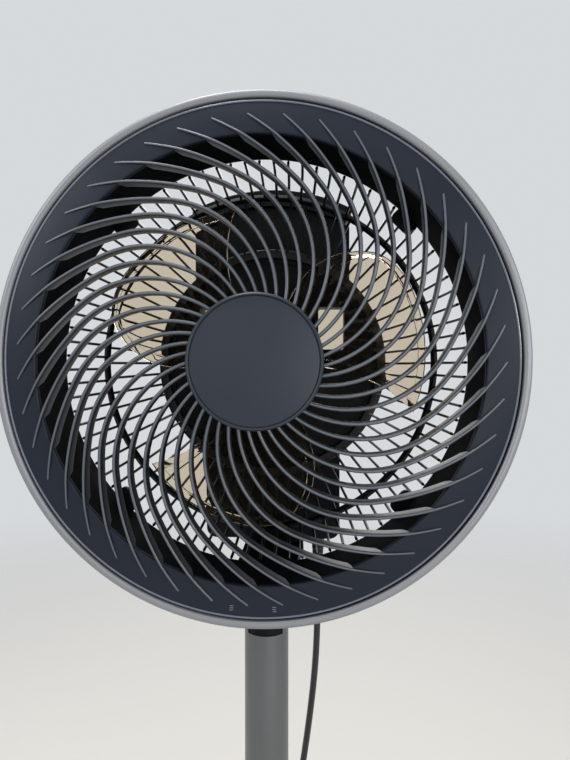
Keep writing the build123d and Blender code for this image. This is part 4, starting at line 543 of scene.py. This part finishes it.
class FanSpiralRibs(bpy.types.Operator):
    """Makes the spiral ribs of the front grille"""

    bl_idname = "fan.spiral_ribs"
    bl_label = "Spiral ribs"

    hub_angle = 71.2  # where a rib leaves the hub, in degrees seen from the front
    leave_angle = 16.4  # how far it leans from straight outwards there
    inner_radius = 70.4 * MM  # its tight inner arc, and how far that turns
    inner_turn = 79.4
    outer_radius = 194.0 * MM  # its slack outer arc, and how far that turns
    outer_turn = 20.45
    fin_slant = 2.5 * MM  # how far out the deep inner part of a rib slants up to the ring
    fin_start = 85 * MM  # radius where its back edge starts to get a paler painted highlight
    root_sink = 1.5 * MM  # how far inside the hub's edge it starts
    inner_steps, outer_steps = 26, 6
    tip_start = 0.993  # share of its length where it narrows to its blunt tip
    tip_share = 0.6  # of its width that is left there
    crown = (-1, -0.87, -0.5, 0, 0.5, 0.87, 1)  # rows across its rounded front

    def line(self, s):
        """Gives a function of the share of a rib's length and an offset, for points along the rib."""
        start = Vector(polar(s.hub_radius - self.root_sink, self.hub_angle))
        first = self.hub_angle + self.leave_angle - 90
        bend = first + self.inner_turn
        inner = start - Vector(polar(self.inner_radius, first))
        outer = inner - Vector(polar(self.outer_radius - self.inner_radius, bend))
        inner_run = self.inner_radius * self.inner_turn
        share = inner_run / (inner_run + self.outer_radius * self.outer_turn)

        def at(t, offset=0.0):
            if t < share:
                return inner + Vector(polar(self.inner_radius + offset, first + self.inner_turn * t / share))
            turned = self.outer_turn * (t - share) / (1 - share)
            return outer + Vector(polar(self.outer_radius + offset, bend + turned))

        return at, share

    def share_at(self, at, radius):
        """The share of a rib's length at which it reaches a radius."""
        low, high = 0.0, 1.0
        for _ in range(40):
            middle = (low + high) / 2
            low, high = (middle, high) if at(middle).length < radius else (low, middle)
        return low

    def execute(self, context):
        s = context.scene.fan_head
        at, share = self.line(s)
        notch = self.share_at(at, s.rib_notch)
        ring = self.share_at(at, s.rib_notch + self.fin_slant)
        inner, outer = self.inner_steps, self.outer_steps
        stations = [notch * i / inner for i in range(inner + 1)]
        stations += [ring + (self.tip_start - ring) * i / outer for i in range(outer + 1)] + [1.0]

        hub_inner = s.hub_radius - 4 * MM  # the lines of its depth reach past both of its ends
        end_radius = s.rib_tip + 2 * MM
        notch_front = s.face_crest + s.rib_rise

        def depth_on(line, r):
            """Depth at a radius, on a straight line between two points of radius and depth."""
            (r0, d0), (r1, d1) = line
            return d0 + (d1 - d0) * (r - r0) / (r1 - r0)

        ring_top = (s.face_inner, notch_front)
        front_inner = ((hub_inner, s.hub_front - 0.2 * MM), ring_top)
        front_outer = (ring_top, (end_radius, s.face_edge + 1.8 * MM))
        fin_back = (
            (hub_inner, s.hub_front - s.rib_hub_depth), (s.rib_notch, notch_front - s.rib_fin_depth)
        )
        ring_back = ((s.rib_notch, s.face_crest - 1.3 * MM), (end_radius, s.face_edge + 0.3 * MM))

        bm = bmesh.new()
        columns = len(stations) - 1
        rows = len(self.crown) - 1
        slab(bm, columns, rows)
        # how much of the pale painted highlight each point takes
        crest = bm.verts.layers.float.new("crest")
        for vert in bm.verts:
            column = round((vert.co.x + 0.5) * columns)
            across = self.crown[round((vert.co.y + 0.5) * rows)]
            t = stations[column]
            taper = min(1.0, (1 - t) / (1 - share))
            half = (s.rib_width * taper + s.rib_tip_width * (1 - taper)) / 2
            if column == columns:
                half *= self.tip_share
            x, y = at(t, half * across)
            r = math.hypot(x, y)
            depth = depth_on(ring_back if column > inner else fin_back, r)
            # a painted highlight on the back edge and the fins' flanks, growing towards the ring
            vert[crest] = max(0.0, min(0.9, (r - self.fin_start) / (s.rib_notch - self.fin_start)))
            if vert.co.z > 0.5:
                vert[crest] = max(0.0, min(1.0, 1.45 - 1.67 * abs(across)))  # painted highlight along its rounded front, none on its sides
                front = front_inner if r < s.face_inner else front_outer
                depth = depth_on(front, r) - half * (1 - math.sqrt(max(0.0, 1 - across * across)))
            vert.co = fan_point(x, y, depth)
        repeat_round(bm, s.rib_count)
        keep(bm, "spiral_ribs", "head", "ribs", "front_grille")
        return {"FINISHED"}


class FanHubCap(bpy.types.Operator):
    """Makes the hub and its domed cap with a bead round it"""

    bl_idname = "fan.hub_cap"
    bl_label = "Hub cap"

    bead_width = 2.4 * MM  # with the groove inside it
    bead_rise = 0.9 * MM  # over the cap's edge
    crown_rings = 8

    def execute(self, context):
        s = context.scene.fan_head
        inner = s.hub_radius - s.wall
        floor = s.hub_back + s.wall
        shell = [
            (0, s.hub_back), (s.hub_radius, s.hub_back), (s.hub_radius, s.hub_front),
            (inner, s.hub_front), (inner, floor), (0, floor),
        ]
        lathe("grille_hub", shell, [0, 1.2, 0.5, 0.3, 0, 0], "head", "charcoal", "front_grille", steps=160)
        back = s.hub_front + s.gap
        edge = s.hub_radius + s.gap
        groove = s.hub_radius - self.bead_width
        rim = back + s.cap_rim
        bead = rim + self.bead_rise
        rings = self.crown_rings
        crown = [
            (groove * i / rings, rim + (s.cap_crown - s.cap_rim) * (1 - (i / rings) ** 2))
            for i in range(rings + 1)
        ]
        cap = [
            *crown, (groove + 0.3 * MM, rim - 0.5 * MM), (groove + 0.9 * MM, bead - 0.3 * MM),
            (groove + 1.6 * MM, bead), (edge - 0.4 * MM, bead - 0.5 * MM),
            (edge, rim - 0.4 * MM), (edge, back), (0, back),
        ]
        # the cap's paler colour is a painted highlight
        lathe("hub_cap_disc", cap, [0] * len(cap), "head", "cap", "hub_cap", steps=160)
        return {"FINISHED"}


# ---- body of the head
class FanHeadFrame(bpy.types.Operator):
    """Makes the channel-shaped frame whose inner wall is the duct"""

    bl_idname = "fan.head_frame"
    bl_label = "Head frame"

    def execute(self, context):
        s = context.scene.fan_head
        outside = s.trim_radius - s.trim_wall - s.gap
        front = s.face_crest - s.wall - 2 * s.gap - s.face_hook
        floor = s.frame_back + s.wall
        duct = s.duct_radius
        profile = [
            (duct, front), (duct, s.frame_back), (outside, s.frame_back), (outside, s.frame_lip),
            (outside - s.wall, s.frame_lip), (outside - s.wall, floor), (duct + s.wall, floor),
            (duct + s.wall, front),
        ]
        rounds = [0.5, 1, 9, 0.4, 0, 6, 0, 0.3]
        lathe("duct_frame", profile, rounds, "head", "duct", "head_frame", steps=256)
        return {"FINISHED"}


class FanRearGrille(bpy.types.Operator):
    """Makes the wire bowl behind the blades"""

    bl_idname = "fan.rear_grille"
    bl_label = "Rear grille"

    rim_angle = -3.0  # these three lie round the bowl's section, in degrees
    stiffener_angle = -32.0
    disc_angle = -64.0
    outer_wires = 87
    inner_wires = 66
    wire_overlap = 0.8  # degrees that each run of wires reaches into the stiffening ring
    ring_half = 1.4  # half that ring's width, in degrees
    ring_proud = 0.6 * MM  # how far it stands out from the wires
    rim_depth = 5 * MM  # the bowl's rim and its pads, front to back

    def bowl(self, s, degrees, inset):
        """Radius and depth of a point of the bowl's section."""
        across, forward = polar(s.bowl_radius - inset, degrees)
        return s.bowl_centre_radius + across, s.bowl_centre_depth + forward

    def wires(self, s, start, end, count, name):
        """One wire, swept along the bowl's arc and repeated."""
        radius, depth = self.bowl(s, start, s.wire_depth / 2)
        outward = Vector((math.cos(math.radians(start)), -math.sin(math.radians(start)), 0))
        turned = Matrix((outward, UP, UP.cross(outward))).transposed().to_4x4()
        size = Matrix.Diagonal((s.wire_depth / 2, s.wire_width / 2, 1, 1))
        bm = bmesh.new()
        section = bmesh.ops.create_circle(
            bm, cap_ends=True, segments=8, radius=1,
            matrix=Matrix.Translation(fan_point(radius, 0, depth)) @ turned @ size,
        )
        bmesh.ops.spin(
            bm, geom=section["verts"] + bm.edges[:] + bm.faces[:],
            cent=fan_point(s.bowl_centre_radius, 0, s.bowl_centre_depth), axis=UP,
            angle=math.radians(start - end), steps=5,
        )
        repeat_round(bm, count)
        keep(bm, name, "head", "wires", "rear_grille")

    def execute(self, context):
        s = context.scene.fan_head
        middle, overlap = self.stiffener_angle, self.wire_overlap
        self.wires(s, self.rim_angle, middle - overlap, self.outer_wires, "outer_wires")
        self.wires(s, middle + overlap, self.disc_angle, self.inner_wires, "inner_wires")
        front = s.frame_back - s.gap
        back = front - self.rim_depth
        duct = s.duct_radius
        outside = duct + 9 * MM
        rim = [(duct + 2.4 * MM, back), (outside, back), (outside, front), (duct - 0.3 * MM, front)]
        lathe("bowl_rim", rim, [1.2, 2, 0.4, 0.4], "head", "wires", "rear_grille")
        proud = self.ring_proud
        below, above = middle - self.ring_half, middle + self.ring_half
        ring = [
            self.bowl(s, below, -proud), self.bowl(s, above, -proud),
            self.bowl(s, above, s.wire_depth + proud), self.bowl(s, below, s.wire_depth + proud),
        ]
        lathe("stiffening_ring", ring, [1] * 4, "head", "black", "rear_grille")
        self.disc_ring(s)
        self.pads(s, back)
        return {"FINISHED"}

    def disc_ring(self, s):
        """The stepped ring that carries the motor's disc."""
        inside, outside, lip = 93 * MM, 97 * MM, 89.5 * MM
        disc_front = -50 * MM
        disc_thickness = 3 * MM
        seat = disc_front + s.gap
        front = seat + s.wall
        back = disc_front - disc_thickness - s.gap
        profile = [
            (inside, back), (outside, back), (outside, front), (lip, front), (lip, seat), (inside, seat),
        ]
        lathe("disc_ring", profile, [0.3, 1, 1, 0.6, 0.3, 0], "head", "wires", "rear_grille")

    def pads(self, s, back):
        """The four pads that take the long screws."""
        inner, outer, width = 137 * MM, 162.6 * MM, 18 * MM
        bm = bmesh.new()
        size = (outer - inner, self.rim_depth, width)
        place = Matrix.Translation(fan_point((inner + outer) / 2, 0, back + self.rim_depth / 2))
        bmesh.ops.create_cube(bm, size=1, matrix=place @ Matrix.Diagonal((*size, 1)))
        through = [e for e in bm.edges if abs((e.verts[0].co - e.verts[1].co).normalized().y) > 0.9]
        bevel(bm, through, 4 * MM, 5, clamp=False)
        hard = [e for e in bm.edges if e.calc_face_angle(0) > SMOOTH_ANGLE]
        bevel(bm, hard, 0.6 * MM, 2, clamp=False)
        bmesh.ops.rotate(bm, verts=bm.verts, cent=FAN, matrix=Matrix.Rotation(math.radians(45), 3, FORWARD))
        repeat_round(bm, 4)
        keep(bm, "screw_pads", "head", "black", "rear_grille")


# ---- impeller
class FanImpeller(bpy.types.Operator):
    """Makes the clear blades, with their thick rims, and the cup that carries them"""

    bl_idname = "fan.impeller"
    bl_label = "Impeller"

    root_radius = 28 * MM
    sheet_angle = 20.0  # the way the twisted sheet of a blade points
    pitch_inner = 34.0
    pitch_outer = 12.0
    twist_span = (20 * MM, 105 * MM)  # where along it the pitch starts to change, and over how far
    middle_steps = 16
    edge_share = 0.55  # of the rim's thickness that is left at the very edge

    def edge(self, s, v):
        """Angle at the root, radius and angle at the outer edge, and bow, across the blade."""
        corner = 0.8
        root_angle = -3 + 67 * v
        bow = 2.3 + 5.7 * v
        if v < corner:
            return root_angle, s.blade_tip, -18.5 + 45.5 * v / corner, bow
        q = (v - corner) / (1 - corner)
        return root_angle, s.blade_tip - 8 * MM * q * q, 27 + 16 * q, bow

    def depth_at(self, s, across, up):
        """Depth of the blade's twisted sheet."""
        way, point = Vector(polar(1, self.sheet_angle)), Vector((across, up))
        start, reach = self.twist_span
        q = (point.dot(way) - start) / reach
        inner, outer = (Vector(polar(1, pitch)) for pitch in (self.pitch_inner, self.pitch_outer))
        run, rise = inner.lerp(outer, q)
        return s.blade_middle + way.cross(point) * rise / run

    def execute(self, context):
        s = context.scene.fan_head
        band = s.blade_band
        near = [0, 0.35 * MM, 1.1 * MM, band - 1.1 * MM, band - 0.4 * MM, band + 0.4 * MM]
        swell = [0.45, 0.85, 1.0, 1.0, 0.35, 0.0]
        columns = self.middle_steps + len(near)
        rows = self.middle_steps + 2 * len(near)

        def spread(index, count, both_ends, width):
            """Share of the way across, and how far the rim swells there."""
            if index > count - len(near):
                i = count - index
                return 1 - near[i] / width, swell[i]
            if both_ends and index < len(near):
                return near[index] / width, swell[index]
            first = near[-1] / width if both_ends else 0.0
            start = len(near) - 1 if both_ends else 0
            last = count - len(near) + 1
            return first + (1 - near[-1] / width - first) * (index - start) / (last - start), 0.0

        bm = bmesh.new()
        slab(bm, columns, rows)
        root = self.root_radius
        reach = s.blade_tip - root
        for vert in bm.verts:
            column = round((vert.co.x + 0.5) * columns)
            row = round((vert.co.y + 0.5) * rows)
            u, rim_u = spread(column, columns, False, reach)
            v, rim_v = spread(row, rows, True, (root + reach * u) * math.radians(60))  # its spread
            root_angle, end_radius, end_angle, bow = self.edge(s, v)
            radius = root + (end_radius - root) * u
            degrees = root_angle + (end_angle - root_angle) * u + bow * 4 * u * (1 - u)
            across, up = polar(radius, degrees)
            depth = self.depth_at(s, across, up)
            thickness = s.blade_web + (s.blade_rim - s.blade_web) * max(rim_u, rim_v)
            if column == columns or row in (0, rows):
                thickness = s.blade_rim * self.edge_share
            side = 0.5 if vert.co.z > 0.5 else -0.5
            vert.co = fan_point(across, up, depth + side * thickness)
        repeat_round(bm, 3)
        keep(bm, "clear_blades", "fan_wheel", "smoke", "impeller")
        self.cup(s)
        return {"FINISHED"}

    def cup(self, s):
        """The cup that slips over the shaft."""
        bore = 4.05 * MM
        collar = 9 * MM
        collar_back = 8 * MM
        ceiling = s.impeller_front - s.wall
        inside = s.impeller_radius - s.wall
        profile = [
            (bore, collar_back), (collar, collar_back), (collar, ceiling), (inside, ceiling),
            (inside, s.impeller_back), (s.impeller_radius, s.impeller_back),
            (s.impeller_radius, s.impeller_front), (bore, s.impeller_front),
        ]
        rounds = [0, 0.5, 0, 3, 0.3, 0.3, 5, 0]
        lathe("impeller_cup", profile, rounds, "fan_wheel", "smoke", "impeller", steps=128)


# ---- housings
class FanHousings(bpy.types.Operator):
    """Breaks the edges of the spine, grip, neck and the motor's disc"""

    bl_idname = "fan.housings"
    bl_label = "Spine, grip and neck"

    def execute(self, context):
        for node in ("spine_rear", "spine_front", "top_grip", "motor_plate"):
            softened(node, "head", "black", 0.45 * MM)
        for node in ("neck_body", "neck_cover"):
            softened(node, "neck", "black", 0.5 * MM)
        return {"FINISHED"}


# ---- base
class FanBase(bpy.types.Operator):
    """Makes the domed cover of the base"""

    bl_idname = "fan.base"
    bl_label = "Base"

    def execute(self, context):
        s = context.scene.fan_stand
        outside, wall = s.base_radius, s.base_wall
        inside, ceiling = outside - wall, s.base_top - wall
        bore = s.socket_radius + 0.3 * MM
        collar = 42 * MM
        profile = [
            (bore, ceiling), (collar, ceiling), (outside - 8 * MM, s.base_shoulder - wall),
            (inside, s.base_edge - wall / 2), (inside, s.base_bottom), (outside, s.base_bottom),
            (outside, s.base_edge), (outside - 6 * MM, s.base_shoulder), (collar, s.base_top),
            (bore, s.base_top),
        ]
        rounds = [0, 20, 6, 2, 0.3, 0.5, 4, 8, 20, 1]
        lathe("base_dome", profile, rounds, "stand", "charcoal", "base_cover", steps=256, upright=True)
        return {"FINISHED"}


# ---- mains lead
class FanLead(bpy.types.Operator):
    """Makes the mains lead: it hangs from the neck, and its spare length is coiled behind the base"""

    bl_idname = "fan.lead"
    bl_label = "Mains lead"

    hanging = [
        (0.04, 0.088, 0.6097), (0.04, 0.088, 0.574), (0.0382, 0.0876, 0.52), (0.0318, 0.0886, 0.462),
        (0.0235, 0.093, 0.404), (0.016, 0.103, 0.346), (0.01, 0.119, 0.29), (0.005, 0.138, 0.235),
        (0.0015, 0.156, 0.18), (0.0005, 0.169, 0.126), (0.004, 0.1765, 0.078), (0.015, 0.1775, 0.038),
        (0.037, 0.1745, 0.013), (0.067, 0.173, 0.0041), (0.098, 0.173, 0.0041),
    ]
    coil_centre = Vector((0.104, 0.215, 0.0041))
    points_per_turn = 16
    climb_turns = 0.5  # how much of a turn it takes to climb to the upper layer
    plug_run = 24 * MM

    def coil(self, s):
        """Points of the coil: a spiral in on the floor, up a layer, and a spiral out."""
        turns = s.coil_turns
        spline_draw = math.cos(math.pi / self.points_per_turn)  # the line runs inside its points
        points = []
        for i in range(turns * self.points_per_turn + 1):
            turn = i / self.points_per_turn
            inward = turns / 2 - abs(turn - turns / 2)
            radius = (s.coil_radius - s.coil_pitch * inward) / spline_draw
            climb = min(max((turn - turns / 2) / self.climb_turns + 0.5, 0.0), 1.0)
            across, back = polar(radius, 360 * turn - 90)
            rise = s.coil_pitch * climb * climb * (3 - 2 * climb)
            points.append(self.coil_centre + Vector((across, back, rise)))
        return points

    def execute(self, context):
        s = context.scene.fan_stand
        end = self.coil_centre + Vector((self.plug_run, -s.coil_radius, s.coil_pitch))
        points = [Vector(p) for p in self.hanging] + self.coil(s) + [end]
        curve = bpy.data.curves.new("mains_lead_line", "CURVE")
        curve.dimensions = "3D"
        curve.resolution_u = 6
        spline = curve.splines.new("NURBS")
        spline.points.add(len(points) - 1)
        for control, point in zip(spline.points, points):
            control.co = (*point, 1)
        spline.order_u = 3
        spline.use_endpoint_u = True
        line = bpy.data.objects.new("mains_lead_line", curve)
        context.scene.collection.objects.link(line)
        middle = bpy.data.meshes.new_from_object(line)
        curve.bevel_depth = s.cord_radius
        curve.bevel_resolution = 3
        curve.use_fill_caps = True
        tube = bpy.data.meshes.new_from_object(line)
        bpy.data.objects.remove(line)
        bpy.data.meshes.remove(middle)
        tube.shade_smooth()
        lead = bpy.data.objects.new("mains_lead", tube)
        settle(lead, None, "jacket", "power_cord", "cord_coil")
        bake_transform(lead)
        return {"FINISHED"}


# ---- finishes of the CAD's own pieces
CARRIED = {
    "zinc": (
        "motor_bearings", "motor_shaft", "tilt_shaft", "tilt_clips", "tilt_motor", "neck_screws",
        "pan_motor", "pan_nut", "pan_spindle", "pole_joiner", "base_plate", "base_screws", "pole_screws",
    ),
    "black_zinc": ("grille_screws", "motor_screws", "spine_screws"),
    "black": ("motor_case", "impeller_nut", "pole_insert", "pole_socket", "cord_tie"),
    "board": ("touch_board", "driver_board", "power_board"),
    "core": ("motor_stator", "motor_rotor"),
    "copper": ("motor_windings",),
    "nylon": ("tilt_gear", "tilt_pinion", "tilt_bushes", "pan_gear", "pan_pinion", "pan_washer"),
    "pole": ("pole_upper", "pole_lower"),
    "iron": ("base_weight",),
    "rubber": ("base_feet", "strain_relief"),
    "plug": ("plug_body",),
    "nickel": ("plug_pins",),
}


class FanCarried(bpy.types.Operator):
    """Gives the CAD's own pieces their finishes"""

    bl_idname = "fan.carried"
    bl_label = "Finishes of inner pieces"

    def execute(self, context):
        for kind, nodes in CARRIED.items():
            for node in nodes:
                materials = frame["nodes"][node].data.materials
                materials.clear()
                materials.append(finish_named(kind))
        return {"FINISHED"}


# ---- stage
class FanStage(bpy.types.Operator):
    """Makes the floor, the backdrop, the lamps and the camera"""

    bl_idname = "fan.stage"
    bl_label = "Stage"

    camera_place = Vector((0.0389, -0.4393, 0.7967))
    camera_turn = 3.2  # degrees, towards -X
    camera_dip = 1.3  # degrees, below level
    lens = 27.0
    floor_radius = 3.2
    floor_fade = (0.7, 3.0)  # how far out the floor starts and ends to fade, in metres
    lamps = (  # name, place, width in metres and power in watts
        ("overhead", (-0.4, -0.2, 3.0), 1.0, 46),
        ("left_front", (-2.0, -1.5, 1.9), 0.6, 21),
        ("right_front", (2.2, -1.3, 1.2), 0.6, 18),
        ("low_front", (0.9, -2.0, 0.75), 0.7, 11),
        ("behind", (0.3, 2.4, 2.2), 1.2, 20),
    )

    def execute(self, context):
        scene = context.scene
        self.camera(scene)
        self.floor(scene)
        self.lights(scene)
        self.sky(scene)
        scene.view_settings.view_transform = "Standard"
        return {"FINISHED"}

    def aimed(self, scene, data, place, ahead):
        """A camera or lamp in its place, turned to look ahead."""
        piece = bpy.data.objects.new(data.name, data)
        scene.collection.objects.link(piece)
        aim = ahead.to_track_quat("-Z", "Y").to_matrix().to_4x4()
        piece.matrix_world = Matrix.Translation(place) @ aim
        return piece

    def camera(self, scene):
        data = bpy.data.cameras.new("camera")
        data.lens = self.lens
        across, along = polar(1.0, 90 + self.camera_turn)
        ahead = Vector((across, along, -math.tan(math.radians(self.camera_dip))))
        scene.camera = self.aimed(scene, data, self.camera_place, ahead)

    def floor(self, scene):
        bm = bmesh.new()
        bmesh.ops.create_circle(bm, cap_ends=True, segments=96, radius=self.floor_radius)
        mesh = bpy.data.meshes.new("floor")
        bm.to_mesh(mesh)
        bm.free()
        floor = bpy.data.objects.new("floor", mesh)
        scene.collection.objects.link(floor)
        mesh.materials.append(self.floor_paint(scene.fan_finish))

    def floor_paint(self, finish):
        """Matt painted board, which fades into the backdrop far from the fan."""
        material = surface("matt_painted_floor", finish.floor, 0.85, 6, 0.02, 0.01)
        nodes = material.node_tree.nodes
        place = add_node(material, "TexCoord", {}).outputs["Object"]
        far = add_node(material, "VectorMath", {"Vector": place}, operation="LENGTH").outputs["Value"]
        near_edge, far_edge = self.floor_fade
        reach = {"From Min": near_edge, "From Max": far_edge, "Value": far}
        fade = add_node(material, "MapRange", reach, interpolation_type="SMOOTHSTEP").outputs["Result"]
        paint = nodes["Principled BSDF"].outputs["BSDF"]
        clear = add_node(material, "BsdfTransparent", {}).outputs["BSDF"]
        mix = add_node(material, "MixShader", {"Fac": fade, 1: paint, 2: clear})
        feed(material, nodes["Material Output"], {"Surface": mix.outputs["Shader"]})
        return material

    def lights(self, scene):
        """The lamps, each turned to the head."""
        for name, place, size, power in self.lamps:
            data = bpy.data.lights.new(name, "AREA")
            data.size = size
            data.energy = power
            self.aimed(scene, data, Vector(place), FAN - Vector(place))

    def sky(self, scene):
        """Even light all round, which the camera, gloss and glass see as the pale backdrop."""
        world = bpy.data.worlds.new("backdrop")
        scene.world = world
        world.use_nodes = True
        world.node_tree.nodes.clear()
        ray = add_node(world, "LightPath", {}).outputs
        backdrop = {"Color": opaque(scene.fan_finish.backdrop)}
        pale = add_node(world, "Background", backdrop).outputs["Background"]
        white = {"Color": (1.0, 1.0, 1.0, 1.0), "Strength": 0.3}
        light = add_node(world, "Background", white).outputs["Background"]
        seen = ray["Is Camera Ray"]
        for also in ("Is Transmission Ray", "Is Glossy Ray"):
            seen = add_node(world, "Math", {0: seen, 1: ray[also]}, operation="MAXIMUM").outputs["Value"]
        mix = add_node(world, "MixShader", {0: seen, 1: light, 2: pale})
        add_node(world, "OutputWorld", {"Surface": mix.outputs["Shader"]})


# ---- add-on
OPERATORS = (
    FanStage, FanLead, FanTrimRing, FanFrontRing, FanSpiralRibs, FanHubCap, FanHeadFrame,
    FanRearGrille, FanImpeller, FanHousings, FanBase, FanCarried,
)


class FanPanel(bpy.types.Panel):
    """Lists the pieces of the fan"""

    bl_idname = "VIEW3D_PT_fan"
    bl_label = "Fan"
    bl_space_type = "VIEW_3D"
    bl_region_type = "UI"
    bl_category = "Fan"

    def draw(self, context):
        for operator in OPERATORS:
            self.layout.operator(operator.bl_idname)


SETTINGS = {"fan_head": FanHeadSizes, "fan_stand": FanStandSizes, "fan_finish": FanFinish}


def register():
    for name, group in SETTINGS.items():
        bpy.utils.register_class(group)
        setattr(bpy.types.Scene, name, bpy.props.PointerProperty(type=group))
    for operator in OPERATORS:
        bpy.utils.register_class(operator)
    bpy.utils.register_class(FanPanel)


def unregister():
    bpy.utils.unregister_class(FanPanel)
    for operator in reversed(OPERATORS):
        bpy.utils.unregister_class(operator)
    for name, group in SETTINGS.items():
        delattr(bpy.types.Scene, name)
        bpy.utils.unregister_class(group)


def main():
    register()
    for operator in OPERATORS:
        group, action = operator.bl_idname.split(".")
        getattr(getattr(bpy.ops, group), action)()


if __name__ == "__main__":
    main()
